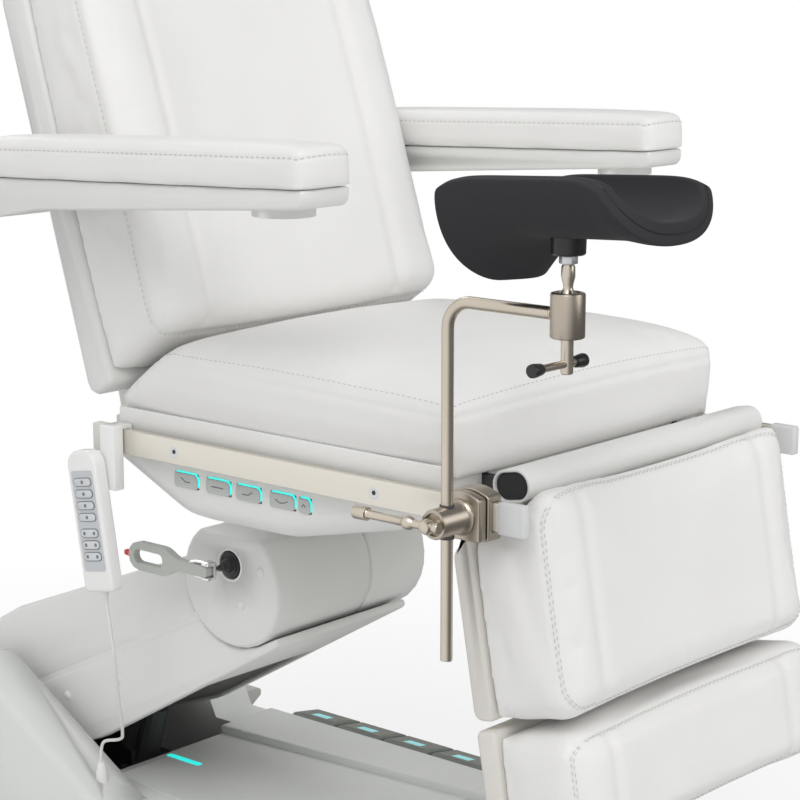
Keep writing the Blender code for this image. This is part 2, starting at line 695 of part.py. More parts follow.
top_rear, top_front = 0.095, 0.062
upper = [(-0.05, SEAM_N + GAP, 0.0), (-0.062, 0.01, 0.03), (-0.03, top_rear - 0.005, 0.05),
         (0.06, top_rear, 0.10),
         (round_housing(top_front), top_front, 0.0)]
upper += [(round_housing(n), n, 0.0) for n in (0.045, 0.025, 0.0, -0.015, SEAM_N + GAP)]
lift_upper_cover = prism("lift_upper_cover", upper, -ARM_HALF, ARM_HALF, ARM, bevel=0.010, segments=2)
upper_in = [(-0.044, SEAM_N - 0.02, 0.0), (-0.056, 0.01, 0.03), (-0.026, top_rear - 0.010, 0.05),
            (0.06, top_rear - WALL * 1.5, 0.10),
            (round_housing(top_front) - WALL, top_front - WALL * 1.5, 0.0),
            (round_housing(0.0) - WALL, 0.0, 0.0),
            (round_housing(SEAM_N) - WALL, SEAM_N - 0.02, 0.0)]
cut(lift_upper_cover, prism("upper_hollow", upper_in, -ARM_HALF + WALL, ARM_HALF - WALL, ARM),
    block("upper_rear_slot", (-0.2, -0.3, -cheek_in - CHEEK_T - 0.012),
          (-0.03, CHEEK_R, cheek_in + CHEEK_T + 0.012), ARM),
    block("upper_slot", (LIFT_LEN - 0.2, -0.2, -BEAM_HALF - 0.002),
          (LIFT_LEN, end_r + 0.002, BEAM_HALF + 0.002), ARM))
join(lift_upper_cover, *[block(f"cover_rib_{i}", (0.20, SEAM_N + 0.006, x),
                               (0.23, end_r, x + ARM_HALF - BEAM_HALF - 0.002), ARM)
                         for i, x in enumerate((BEAM_HALF + GAP, -ARM_HALF + 0.002 - GAP))])
low_rear, low_front = -0.147, -0.112
tip_s = LIFT_LEN + 0.045
lower = [(-0.05, SEAM_N, 0.0), (round_housing(SEAM_N), SEAM_N, 0.0)]
lower += [(round_housing(n), n, 0.0) for n in (-0.05, -0.07, -0.085, -0.095)]
lower += [(LIFT_LEN, -clear_r, 0.0), (tip_s, low_front + 0.012, 0.004), (tip_s, low_front, 0.008),
          (0.156, low_rear, 0.06),
          (0.03, low_rear + 0.01, 0.04), (-0.05, -0.08, 0.04)]
lift_lower_cover = prism("lift_lower_cover", lower, -ARM_HALF, ARM_HALF, ARM, bevel=0.008, segments=2)
lower_in = [(-0.044, SEAM_N + 0.02, 0.0), (round_housing(SEAM_N) - WALL, SEAM_N + 0.02, 0.0),
            (round_housing(SEAM_N) - WALL, SEAM_N, 0.0),
            (round_housing(-0.085) - WALL, -0.09, 0.0), (LIFT_LEN - 0.10, low_front - 0.008, 0.0),
            (0.156, low_rear + WALL * 1.5, 0.06),
            (0.034, low_rear + 0.016, 0.04), (-0.044, -0.076, 0.03)]
cut(lift_lower_cover, prism("lower_hollow", lower_in, -ARM_HALF + WALL, ARM_HALF - WALL, ARM),
    block("lower_slot", (-0.2, -0.3, -ARM_HALF + 0.022), (LIFT_LEN - 0.15, -0.06, ARM_HALF - 0.022), ARM),
    block("rear_slot", (-0.2, -0.3, -ARM_HALF + 0.022), (-0.03, 0.1, ARM_HALF - 0.022), ARM),
    block("beam_slot", (LIFT_LEN - 0.2, -end_r - 0.002, -BEAM_HALF - 0.002),
          (LIFT_LEN, 0.1, BEAM_HALF + 0.002), ARM))
join(lift_lower_cover, *[block(f"lower_rib_{i}", (0.27, -end_r, x),
                               (0.30, SEAM_N - 0.003, x + ARM_HALF - BEAM_HALF - 0.002), ARM)
                         for i, x in enumerate((BEAM_HALF + GAP, -ARM_HALF + 0.002 - GAP))])

# Pivot housing in two halves round the arm's trunnion
housing_outline = []
for k in range(30):
    t = 2 * math.pi * k / 30
    bulge = max(0.0, math.cos(t - math.radians(215.0))) ** 3
    radius = HOUSING_R + 0.006 * bulge
    housing_outline.append((HOUSING_Y + radius * math.cos(t),
                            min(HOUSING_Z + radius * math.sin(t), HOUSING_TOP), 0.0))
housing_near = prism("housing_near", housing_outline, -HOUSING_HALF, HOUSING_SEAM_X, bevel=0.007,
                     segments=2)
housing_far = prism("housing_far", housing_outline, HOUSING_SEAM_X + GAP, HOUSING_FAR, bevel=0.007,
                    segments=2)
swing = (math.radians(-17.0), math.radians(-2.0), math.radians(13.0))
for half in (housing_near, housing_far):
    for i, angle in enumerate(swing):
        frame = Matrix.Translation((0, HOUSING_Y, HOUSING_Z)) @ Matrix.Rotation(-LIFT_ANGLE - angle, 4, "X")
        cut(half, block(f"{half.name}_slot_{i}", (-BEAM_HALF - 0.001, -end_r - 0.004, -end_r - 0.0025),
                        (BEAM_HALF + 0.001, 0.2, end_r + 0.0025), frame))
    cut(half, rod(f"{half.name}_hub", (-BEAM_HALF - 0.001, HOUSING_Y, HOUSING_Z),
                  (BEAM_HALF + 0.001, HOUSING_Y, HOUSING_Z), end_r + 0.003, sides=20),
        bore(f"{half.name}_bore", (-HOUSING_HALF + 0.049, HOUSING_Y, HOUSING_Z),
             (HOUSING_HALF - 0.049, HOUSING_Y, HOUSING_Z), PIN_R + 0.002))
socket_depth = 0.03
cut(housing_near, rod("lever_hole", (-HOUSING_HALF - 0.01, LEVER_Y, LEVER_Z),
                      (-HOUSING_HALF + socket_depth, LEVER_Y, LEVER_Z), 0.0213, sides=24))

# Lock lever: black boot in the housing, chrome fork, loop handle
lock_boot = turned("lock_boot", [(0.0, 0.012), (0.008, 0.012), (0.016, 0.006), (0.0207, -0.002),
                                 (0.0207, -0.028), (0.0, -0.028)],
                   (-HOUSING_HALF, LEVER_Y, LEVER_Z), (-1, 0, 0))
cut(lock_boot, rod("boot_bore", (-HOUSING_HALF - 0.02, LEVER_Y, LEVER_Z),
                   (-HOUSING_HALF + 0.015, LEVER_Y, LEVER_Z), 0.0053))
fork_x = -HOUSING_HALF - LEVER_OUT
lever_fork = rod("lever_fork", (-HOUSING_HALF + 0.0145, LEVER_Y, LEVER_Z),
                 (fork_x + 0.01, LEVER_Y, LEVER_Z), 0.005)
join(lever_fork, block("fork_yoke", (fork_x - 0.004, LEVER_Y - 0.008, LEVER_Z - 0.014),
                       (fork_x + 0.014, LEVER_Y + 0.008, LEVER_Z + 0.014), bevel=0.003))
cut(lever_fork, block("fork_slot", (fork_x - 0.01, LEVER_Y - 0.012, LEVER_Z - 0.0085),
                      (fork_x + 0.008, LEVER_Y + 0.02, LEVER_Z + 0.0085)))
lever_start = LEVER_Y - 0.004
lever_end = LEVER_Y + LEVER_LENGTH
loop_start = lever_start + 0.085
lock_lever = prism("lock_lever", [
    (lever_start, LEVER_Z - 0.008, 0.004), (lever_start + 0.06, LEVER_Z - 0.008, 0.04),
    (loop_start, LEVER_Z - 0.021, 0.03),
    (lever_end, LEVER_Z - 0.021, 0.0209), (lever_end, LEVER_Z + 0.021, 0.0209),
    (loop_start, LEVER_Z + 0.021, 0.03),
    (lever_start + 0.06, LEVER_Z + 0.008, 0.04), (lever_start, LEVER_Z + 0.008, 0.004)], fork_x - 0.005,
    fork_x + 0.0075)
cut(lock_lever, prism("lever_loop", [
    (loop_start + 0.005, LEVER_Z - 0.010, 0.008), (lever_end - 0.011, LEVER_Z - 0.010, 0.0098),
    (lever_end - 0.011, LEVER_Z + 0.010, 0.0098), (loop_start + 0.005, LEVER_Z + 0.010, 0.008)],
    fork_x - 0.05, fork_x + 0.05))

# Turntable with the tilt trunnion
plate_low = HOUSING_TOP + GAP
swivel_plate = rod("swivel_plate", (0, HOUSING_Y, plate_low), (0, HOUSING_Y, plate_low + 0.014), 0.06,
                   sides=20)
join(swivel_plate, block("swivel_post", (-0.045, HOUSING_Y - 0.026, plate_low + 0.006),
                         (0.045, HOUSING_Y + 0.026, TILT_Z + 0.008)),
     rod("tilt_trunnion", (-0.082, HOUSING_Y, TILT_Z), (0.082, HOUSING_Y, TILT_Z), 0.014))

# Seat frame
frame_low = FRAME_TOP - FRAME_H
rail_rear = BACK_Y + EAR_R
leg_lug_t = 0.010
seat_frame = block("seat_frame", (-FRAME_X - FRAME_W / 2, HOUSING_Y - 0.022, frame_low + 0.003),
                   (FRAME_X + FRAME_W / 2, HOUSING_Y + 0.022, FRAME_TOP - 0.001))
members = [block("front_member", (-FRAME_X, SEAT_FRONT + 0.04, frame_low + 0.004),
                 (FRAME_X, SEAT_FRONT + 0.075, FRAME_TOP - 0.002))]
for i, s in enumerate((1.0, -1.0)):
    members.append(block(f"long_member_{i}", (s * FRAME_X - FRAME_W / 2, SEAT_FRONT + 0.03, frame_low),
                         (s * FRAME_X + FRAME_W / 2, rail_rear, FRAME_TOP)))
    members.append(prism(f"leg_lug_{i}", [
        (SEAT_FRONT + 0.05, frame_low + 0.006, 0.0), (SEAT_FRONT + 0.05, FRAME_TOP - 0.003, 0.0),
        (SEAT_FRONT - 0.006, FRAME_TOP - 0.003, 0.0),
        (LEG_Y + 0.006, LEG_Z + 0.0145, 0.006), (LEG_Y - 0.0145, LEG_Z + 0.0145, 0.0135),
        (LEG_Y - 0.0145, LEG_Z - 0.0145, 0.0135),
        (LEG_Y + 0.006, LEG_Z - 0.0145, 0.004)], s * FRAME_X - leg_lug_t / 2, s * FRAME_X + leg_lug_t / 2))
    members.append(block(f"tilt_lug_{i}", (s * 0.0555 - 0.0095, HOUSING_Y - 0.02, TILT_Z - 0.022),
                         (s * 0.0555 + 0.0095, HOUSING_Y + 0.02, FRAME_TOP - 0.004)))
    for j, y in enumerate(STUD_YS):
        members.append(rod(f"rail_stud_{i}{j}", (s * FRAME_X, y, RAIL_Z), (s * (RAIL_IN - GAP), y, RAIL_Z),
                           STUD_R))
join(seat_frame, *members)
cut(seat_frame, bore("tilt_bore", (-0.1, HOUSING_Y, TILT_Z), (0.1, HOUSING_Y, TILT_Z), 0.014),
    rod("back_bore", (-SEAT_HALF, BACK_Y, BACK_Z), (SEAT_HALF, BACK_Y, BACK_Z), 0.010 + GAP),
    rod("leg_bore", (-SEAT_HALF, LEG_Y, LEG_Z), (SEAT_HALF, LEG_Y, LEG_Z), LEG_PIN_R + GAP))
ear_in = FRAME_X + FRAME_W / 2 + GAP
back_hinge_pin = rod("back_hinge_pin", (-ear_in - EAR_T - 0.004, BACK_Y, BACK_Z),
                     (ear_in + EAR_T + 0.004, BACK_Y, BACK_Z), 0.010)
leg_pin_end = FRAME_X + 0.012
leg_hinge_pin = rod("leg_hinge_pin", (-leg_pin_end, LEG_Y, LEG_Z), (leg_pin_end, LEG_Y, LEG_Z), LEG_PIN_R)


def pan_solid(name, shrink):
    """Boat-shaped body of the seat pan, made smaller all round by a wall, too tall at the top."""
    low = SEAT_Z - PAN_DEPTH + shrink
    top = SEAT_Z + 0.06
    half = PAN_HALF - shrink
    outline = [(PAN_REAR - shrink, top, 0.0), (PAN_REAR - shrink, low + 0.070, 0.035), (-0.11, low, 0.12),
               (-0.29, low + 0.002, 0.20),
               (PAN_FRONT + shrink, low + 0.065, 0.03), (PAN_FRONT + shrink, top, 0.0)]
    return prism(name, outline, -half, half, steps=4, bevel=0.032 - shrink * 0.7, segments=2)


# Seat pan
pan_top = SEAT_Z - GAP
seat_pan = pan_solid("seat_pan", 0.0)
cut(seat_pan, pan_solid("pan_hollow", WALL), block("pan_trim", (-1.0, -1.0, pan_top),
                                                   (1.0, 1.0, pan_top + 0.5)),
    block("post_window", (-0.07, HOUSING_Y - 0.068, SEAT_Z - PAN_DEPTH - 0.02),
          (0.07, HOUSING_Y + 0.068, SEAT_Z - PAN_DEPTH + 0.065)),
    *[block(f"ear_notch_{i}", (x, 0.0, BACK_Z - 0.07), (x + EAR_T + 0.004, PAN_REAR + 0.02, SEAT_Z + 0.02))
      for i, x in enumerate((ear_in - 0.002, -ear_in - EAR_T - 0.002))],
    *[block(f"lug_notch_{i}", (s * FRAME_X - leg_lug_t / 2 - 0.001, PAN_FRONT - 0.02, frame_low - 0.001),
            (s * FRAME_X + leg_lug_t / 2 + 0.001, PAN_FRONT + 0.02, SEAT_Z + 0.02))
      for i, s in enumerate((1.0, -1.0))],
    *[rod(f"stud_hole_{i}{j}", (s * (PAN_HALF - 0.02), y, RAIL_Z), (s * (PAN_HALF + 0.01), y, RAIL_Z),
          STUD_R + GAP)
      for i, s in enumerate((1.0, -1.0)) for j, y in enumerate(STUD_YS)])
key_low, key_high = KEY_Z - KEY_H / 2, KEY_Z + KEY_H / 2
keys = []
for i, (y, width) in enumerate(zip(KEY_YS, KEY_WS)):
    spans = [(y - width / 2, key_low), (y + width / 2, key_low), (y + width / 2, key_high),
             (y - width / 2, key_high)]
    keys.append(prism(f"side_key_{i + 1}", [(p, q, 0.0) for p, q in spans], -PAN_HALF - KEY_PROUD,
                      -PAN_HALF + WALL + 0.004))
    hole = [(p + math.copysign(GAP, p - y), q + math.copysign(GAP, q - KEY_Z), 0.0) for p, q in spans]
    boolean(seat_pan, [prism(f"key_hole_{i}", hole, -PAN_HALF - 0.02, -PAN_HALF + 0.02)], "DIFFERENCE",
            "MANIFOLD")

# Seat cushion: crowned top, slanted rear under the back

def seat_shape(u, v, w):
    """Seat cushion surface."""
    across, along = plump(u, v, w)
    across *= 1.0 - SEAT_TUCK * min(1.0, max(0.0, -w / 0.7))
    crown = SEAT_CROWN * (1.0 - 0.75 * u * u) * (1.0 - 0.55 * v ** 4)
    z = SEAT_Z + (SEAT_SIDE + SEAT_RISE * (v + 1.0) / 2) * (w + 1.0) / 2 + (crown * ((w + 1.0) / 2) ** 3)
    front = SEAT_FRONT
    rear = min(SEAT_REAR, SEAT_REAR + 0.024 - 1.389 * (z - SEAT_Z - 0.012))
    y = (front + rear) / 2 + along * (rear - front) / 2
    return Vector((SEAT_WIDE * across, y, z))


seat_cushion = cushion("seat_cushion", 4, seat_shape)

# Side rails with a turned-up rear stop, and the front caps
rail_low = RAIL_TOP - RAIL_H
rails, rail_caps = [], []
for side, s in (("near", -1.0), ("far", 1.0)):
    x0, x1 = sorted((s * RAIL_IN, s * (RAIL_IN + RAIL_T)))
    rail = block(f"side_rail_{side}", (x0, RAIL_FRONT, rail_low), (x1, RAIL_REAR + 0.01, RAIL_TOP),
                 bevel=0.001, segments=1)
    join(rail, block(f"rail_stop_{side}", (x0 - CAP_OVER, RAIL_REAR, rail_low - CAP_OVER),
                     (x1 + CAP_OVER, RAIL_REAR + CAP_REAR, RAIL_TOP + CAP_OVER), bevel=0.002))
    rails.append(rail)
    rail_caps.append(block(f"rail_cap_{side}", (x0 - CAP_OVER, RAIL_FRONT - CAP_FRONT, rail_low - CAP_OVER),
                           (x1 + CAP_OVER, RAIL_FRONT - GAP, RAIL_TOP + CAP_OVER), bevel=0.003, segments=2))

# Back shell with hinge ears
BACK = back_frame()
cut_slope = (BACK_LOW_FRONT - BACK_LOW_REAR) / (BACK_FRONT - BACK_REAR_N)


def back_bottom(n):
    """Height of the slanted lower end of the back at depth n."""
    return BACK_LOW_REAR + (n - BACK_REAR_N) * cut_slope


back_shell = prism("back_shell", [
    (back_bottom(BACK_REAR_N), BACK_REAR_N, 0.02), (back_bottom(SHELL_N), SHELL_N, 0.0),
    (BACK_TOP - 0.01, SHELL_N, 0.0),
    (BACK_TOP - 0.01, BACK_REAR_N, 0.035)], -SEAT_HALF + 0.004, SEAT_HALF - 0.004, BACK, bevel=0.008,
    segments=2)
rest_y, rest_z = SEAT_REAR + 0.003, SEAT_Z - 0.003
neck = [(BACK.inverted() @ Vector((0.0, rest_y, z)))[:2] for z in (rest_z, rest_z + 0.034)]
for i, x in enumerate((ear_in, -ear_in - EAR_T)):
    ear = prism(f"back_ear_{i}", [
        (BACK_LOW_REAR + 0.05, BACK_REAR_N + 0.006, 0.0), (0.012, BACK_REAR_N, 0.008),
        (-EAR_R * 0.8, -EAR_R * 0.8, EAR_R * 0.7),
        (-EAR_R * 0.8, EAR_R * 0.8, EAR_R * 0.7), (EAR_R * 0.93, EAR_R * 0.35, 0.004), (*neck[0], 0.0),
        (*neck[1], 0.0),
        (BACK_LOW_REAR + 0.05, neck[1][1], 0.0)], x, x + EAR_T, BACK)
    join(back_shell, ear)
cut(back_shell, bore("ear_bore", (-SEAT_HALF, BACK_Y, BACK_Z), (SEAT_HALF, BACK_Y, BACK_Z), 0.010))
post_n = (BACK_REAR_N + SHELL_N) / 2
cut(back_shell, *[rod(f"post_bore_{i}", BACK @ Vector((BACK_TOP - POST_IN - 0.01, post_n, x)),
                      BACK @ Vector((BACK_TOP + 0.05, post_n, x)), POST_R + GAP)
                  for i, x in enumerate((POST_X, -POST_X))])
ARM_IN = ARM_X - ARM_W / 2
hub_r = 0.014
join(back_shell, *[rod(f"arm_stub_{i}", (s * (SEAT_HALF - 0.03), ARM_PIVOT_Y, ARM_PIVOT_Z),
                       (s * (ARM_IN + 0.04), ARM_PIVOT_Y, ARM_PIVOT_Z), hub_r)
                   for i, s in enumerate((1.0, -1.0))])


def back_shape(u, v, w):
    """Back cushion surface: side bolsters, shallow middle, slanted lower end."""
    across, along = plump(u, v, w, 0.010, 0.08)
    low_n = SHELL_N + GAP
    hollow = 0.020 * max(0.0, 1.0 - (abs(u) / 0.72) ** 3)
    n = low_n + (BACK_FRONT - low_n - hollow - 0.012 * v * v * (v > 0)) * (w + 1.0) / 2
    bottom = back_bottom(n) + 0.002
    s = (bottom + BACK_TOP) / 2 + along * (BACK_TOP - bottom) / 2
    return BACK @ Vector((s, n, SEAT_HALF * across))


back_cushion = cushion("back_cushion", 4, back_shape)

# Headrest on two posts
head_low = HEAD_LOW + 0.004


def head_shape(u, v, w):
    """Headrest cushion surface."""
    across, along = plump(u, v, w, 0.02, 0.22)
    n = post_n + POST_R + GAP + HEAD_T * (w + 1.0) / 2 + 0.012 * (1 - u * u) * (w > 0.9)
    return BACK @ Vector((head_low + HEAD_H * (along + 1.0) / 2, n, HEAD_HALF * across))


headrest_cushion = cushion("headrest_cushion", 2, head_shape, 2.6)
posts = [rod(f"post_{i}", BACK @ Vector((BACK_TOP - POST_IN, post_n, x)),
             BACK @ Vector((HEAD_LOW + 0.10, post_n, x)), POST_R) for i, x in enumerate((POST_X, -POST_X))]
headrest_post = block("headrest_post", (HEAD_LOW + 0.06, post_n - POST_R - 0.003, -0.11),
                      (HEAD_LOW + 0.15, post_n + POST_R, 0.11), BACK)
join(headrest_post, *posts)

# Armrests: moulded body on the back's stub, with a pad on top
arm_bodies, arm_pads = [], []
LEVEL = side_frame(ARM_PIVOT_Y, ARM_Z, math.pi - ARM_RISE)
for side, s in (("near", -1.0), ("far", 1.0)):
    x0, x1 = sorted((s * ARM_IN, s * (ARM_IN + ARM_W)))
    front = ARM_PIVOT_Y - ARM_TIP
    rear = ARM_PIVOT_Y - ARM_REAR
    arm_body = prism(f"arm_body_{side}", [
        (rear, GAP, 0.0), (front - 0.014, GAP, 0.0), (front - 0.016, 0.024, 0.012),
        (0.09, ARM_BODY_T + 0.008, 0.06),
        (0.0, ARM_BODY_T + 0.022, 0.03), (rear, ARM_BODY_T, 0.02)], x0 + 0.012, x1 - 0.012,
        LEVEL, bevel=0.004)
    disc_z = (LEVEL @ Vector((ARM_PIVOT_Y - ARM_DISC_Y, ARM_BODY_T - 0.008, 0.0))).z
    join(arm_body, rod(f"arm_disc_{side}", (s * ARM_X, ARM_DISC_Y, disc_z + 0.004),
                       (s * ARM_X, ARM_DISC_Y, disc_z - ARM_DISC_T - 0.006), ARM_DISC_R, sides=16))
    cut(arm_body, bore(f"arm_bore_{side}", (s * (ARM_IN - 0.02), ARM_PIVOT_Y, ARM_PIVOT_Z),
                       (s * (ARM_IN + 0.0405), ARM_PIVOT_Y, ARM_PIVOT_Z), hub_r))
    arm_bodies.append(arm_body)

    def arm_shape(u, v, w, s=s, front=front, rear=rear):
        """Arm pad surface."""
        across, along = plump(u, v, w, 0.02, 0.16)
        crown = 0.010 * (1.0 - u * u) * (w > 0.9)
        up = -(ARM_PAD_T * (w + 1.0) / 2 + crown)
        return LEVEL @ Vector(((front + rear) / 2 - along * (front - rear) / 2, up,
                               s * ARM_X + ARM_W / 2 * across))

    arm_pads.append(cushion(f"arm_pad_{side}", 2, arm_shape, 3.2))

# Leg rest: hinge bar, shell, cushion
LEG = leg_frame()
bar_r = BAR_H / 2
front_bar = prism("front_bar", [(-bar_r, -BAR_W / 2, bar_r * 0.98), (bar_r, -BAR_W / 2, bar_r * 0.98),
                                (bar_r, BAR_W / 2, bar_r * 0.98), (-bar_r, BAR_W / 2, bar_r * 0.98)],
                  BAR_NEAR, BAR_FAR, LEG, steps=4)
in_r, in_w = bar_r - BAR_WALL, BAR_W / 2 - BAR_WALL
cut(front_bar, prism("bar_hollow", [(-in_r, -in_w, in_r * 0.98), (in_r, -in_w, in_r * 0.98),
                                    (in_r, in_w, in_r * 0.98), (-in_r, in_w, in_r * 0.98)],
                     BAR_NEAR - 0.02, BAR_FAR + 0.02, LEG, steps=4),
    *[block(f"bar_notch_{i}{j}", low, high, LEG) for i, s in enumerate((1.0, -1.0)) for j,
      (low, high) in enumerate((
        ((-0.05, -0.05, s * FRAME_X - leg_lug_t / 2 - 0.001),
         (0.05, 0.003, s * FRAME_X + leg_lug_t / 2 + 0.001)),
        ((-0.05, -0.05, s * FRAME_X - leg_lug_t / 2 - 0.001),
         (0.006, 0.0175, s * FRAME_X + leg_lug_t / 2 + 0.001))))])
hub_x = FRAME_X - 0.03
join(front_bar, *[block(f"bar_web_{i}", (-in_r - 0.001, -in_w - 0.001, s * hub_x - 0.006),
                        (in_r + 0.001, in_w + 0.001, s * hub_x + 0.006), LEG) for i,
                        s in enumerate((1.0, -1.0))])
cut(front_bar, rod("bar_bore", (-SEAT_HALF, LEG_Y, LEG_Z), (SEAT_HALF, LEG_Y, LEG_Z), LEG_PIN_R + GAP))
leg_half = LEG_HALF - 0.005
leg_shell = prism("leg_shell", [
    (bar_r + GAP, -0.016, 0.0), (bar_r + GAP, 0.012, 0.0), (LEG_TOP + 0.002, LEG_SPLIT, 0.0),
    (LEG_LOW, LEG_SPLIT, 0.0), (LEG_LOW, LEG_REAR, 0.012),
    (LEG_TOP + 0.03, LEG_REAR, 0.02)], -leg_half, leg_half, LEG, bevel=0.005)
slide_b = (LEG_REAR + LEG_SPLIT) / 2
cut(leg_shell, *[rod(f"slide_bore_{i}", LEG @ Vector((LEG_LOW - SLIDE_IN - 0.005, slide_b, x)),
                     LEG @ Vector((LEG_LOW + 0.05, slide_b, x)), SLIDE_R + GAP)
                 for i, x in enumerate((SLIDE_X, -SLIDE_X))])


def leg_shape(low, high, slope=0.0):
    """Surface rule of a leg cushion between two places down the leg, its upper end slanted to the front."""
    def shape(u, v, w):
        across, along = plump(u, v, w, 0.012, 0.06)
        base = LEG_SPLIT + GAP
        dish = 0.012 * max(0.0, 1.0 - (u / 0.7) ** 2)
        b = base + (LEG_FRONT - base - dish) * (w + 1.0) / 2
        top = low - slope * (b - base)
        return LEG @ Vector(((top + high) / 2 + along * (high - top) / 2, b, LEG_HALF * across))
    return shape


leg_cushion = cushion("leg_cushion", 3, leg_shape(LEG_TOP + 0.004, LEG_LOW + 0.002, LEG_SLANT))
foot_low = LEG_LOW + FOOT_GAP
foot_high = foot_low + FOOT_LENGTH
foot_shell = prism("foot_shell", [(foot_low, LEG_SPLIT, 0.0), (foot_high, LEG_SPLIT, 0.0),
                                  (foot_high, LEG_REAR, 0.02), (foot_low, LEG_REAR, 0.008)],
                   -leg_half, leg_half, LEG, bevel=0.005)
join(foot_shell, *[rod(f"foot_slide_{i}", LEG @ Vector((LEG_LOW - SLIDE_IN, slide_b, x)),
                       LEG @ Vector((foot_low + 0.02, slide_b, x)), SLIDE_R)
                   for i, x in enumerate((SLIDE_X, -SLIDE_X))])
foot_cushion = cushion("foot_cushion", 2, leg_shape(foot_low + 0.001, foot_high), 2.6)

# Rail clamp
rail_out = RAIL_IN + RAIL_T
jaw_in = -RAIL_IN + CLAMP_LIP
rail_clamp = block("rail_clamp", (-rail_out - CLAMP_OUT, CRUTCH_Y - CLAMP_W / 2, CLAMP_Z - CLAMP_H / 2),
                   (jaw_in, CRUTCH_Y + CLAMP_W / 2, CLAMP_Z + CLAMP_H / 2), bevel=0.003)
join(rail_clamp, rod("clamp_boss", (-rail_out - CLAMP_OUT + 0.005, CRUTCH_Y, CLAMP_Z),
                     (CLAMP_BOSS_X, CRUTCH_Y, CLAMP_Z), CLAMP_BOSS_R, sides=16))
cut(rail_clamp, block("rail_slot", (-rail_out - GAP, CRUTCH_Y - 0.1, rail_low - GAP),
                      (-RAIL_IN + GAP, CRUTCH_Y + 0.1, RAIL_TOP + GAP)),
    block("rail_throat", (-RAIL_IN - 0.004, CRUTCH_Y - 0.1, rail_low + 0.006),
          (-RAIL_IN + 0.05, CRUTCH_Y + 0.1, RAIL_TOP - 0.006)),
    rod("rod_hole", (CRUTCH_X, CRUTCH_Y, CLAMP_Z - 0.1), (CRUTCH_X, CRUTCH_Y, CLAMP_Z + 0.1), ROD_R + GAP),
    rod("clamp_screw_hole", (CLAMP_BOSS_X - 0.01, CRUTCH_Y, CLAMP_Z), (CRUTCH_X, CRUTCH_Y, CLAMP_Z),
        CLAMP_SCREW_R + GAP))
head_x = CLAMP_BOSS_X - GAP
clamp_screw = rod("clamp_screw", (CRUTCH_X - ROD_R - 2 * GAP, CRUTCH_Y, CLAMP_Z),
                  (head_x - 0.005, CRUTCH_Y, CLAMP_Z), CLAMP_SCREW_R)
join(clamp_screw, rod("screw_head", (head_x, CRUTCH_Y, CLAMP_Z), (head_x - CLAMP_HEAD, CRUTCH_Y, CLAMP_Z),
                      CLAMP_HEAD_R))
bar_x = head_x - CLAMP_HEAD / 2
cut(clamp_screw, rod("clamp_bar_hole", (bar_x, CRUTCH_Y - 0.03, CLAMP_Z), (bar_x, CRUTCH_Y + 0.03, CLAMP_Z),
                     CLAMP_BAR_R + GAP))
clamp_bar = turned("clamp_bar", [
    (0.0, CLAMP_BAR), (CLAMP_KNOB_R * 0.8, CLAMP_BAR), (CLAMP_KNOB_R, CLAMP_BAR - 0.002),
    (CLAMP_KNOB_R, CLAMP_BAR - 0.018), (CLAMP_KNOB_R * 0.8, CLAMP_BAR - 0.020),
    (CLAMP_BAR_R, CLAMP_BAR - 0.020), (CLAMP_BAR_R, 0.038), (0.0075, 0.036), (0.009, 0.030),
    (0.0075, 0.024), (CLAMP_BAR_R, 0.022),
    (CLAMP_BAR_R, -0.016), (CLAMP_BAR_R * 0.7, -0.018), (0.0, -0.018)], (bar_x, CRUTCH_Y, CLAMP_Z),
    (0, 1, 0), steps=12)

# Crutch rod with its bend, and the ball socket
bend = [(CRUTCH_X, CRUTCH_Y - ROD_BEND * (1 - math.cos(t)), ROD_HIGH - ROD_BEND * (1 - math.sin(t)))
        for t in [math.pi / 2 * k / 7 for k in range(8)]]
rod_foot = [(CRUTCH_X, CRUTCH_Y, ROD_LOW), (CRUTCH_X, CRUTCH_Y, ROD_LOW + 0.004)]
rod_end = [(CRUTCH_X, SOCKET_Y + SOCKET_R + GAP, ROD_HIGH)]
crutch_rod = tube_mesh("crutch_rod", rod_foot + bend + rod_end, ROD_R)
ball_socket = turned("ball_socket", [
    (0.0, SOCKET_H), (SOCKET_R - 0.004, SOCKET_H), (SOCKET_R, SOCKET_H - 0.004), (SOCKET_R, 0.003),
    (SOCKET_R - 0.003, 0.0), (0.0, 0.0)],
    (CRUTCH_X, SOCKET_Y, SOCKET_LOW), steps=20)
cut(ball_socket, rod("ball_bore", (CRUTCH_X, SOCKET_Y, BALL_Z - BALL_R),
                     (CRUTCH_X, SOCKET_Y, SOCKET_TOP + 0.02), BALL_R + GAP, sides=24),
    rod("screw_bore", (CRUTCH_X, SOCKET_Y, SOCKET_LOW - 0.01), (CRUTCH_X, SOCKET_Y, BALL_Z), SCREW_R + GAP))
stud_top = BOSS_TOP - 0.012
ball_stud = ball("ball_stud", (CRUTCH_X, SOCKET_Y, BALL_Z), BALL_R)
join(ball_stud, rod("stud_neck", (CRUTCH_X, SOCKET_Y, BALL_Z), (CRUTCH_X, SOCKET_Y, BALL_Z + 0.02),
                    STUD_NECK),
     rod("stud_belly", (CRUTCH_X, SOCKET_Y, BALL_Z + 0.018), (CRUTCH_X, SOCKET_Y, NUT_LOW - GAP),
         STUD_BELLY, STUD_NECK),
     rod("stud_thread", (CRUTCH_X, SOCKET_Y, NUT_LOW - 0.004), (CRUTCH_X, SOCKET_Y, stud_top), STUD_NECK))
pad_nut = rod("pad_nut", (CRUTCH_X, SOCKET_Y, NUT_LOW), (CRUTCH_X, SOCKET_Y, NUT_LOW + NUT_H),
              NUT_FLATS / math.sqrt(3.0), sides=6)
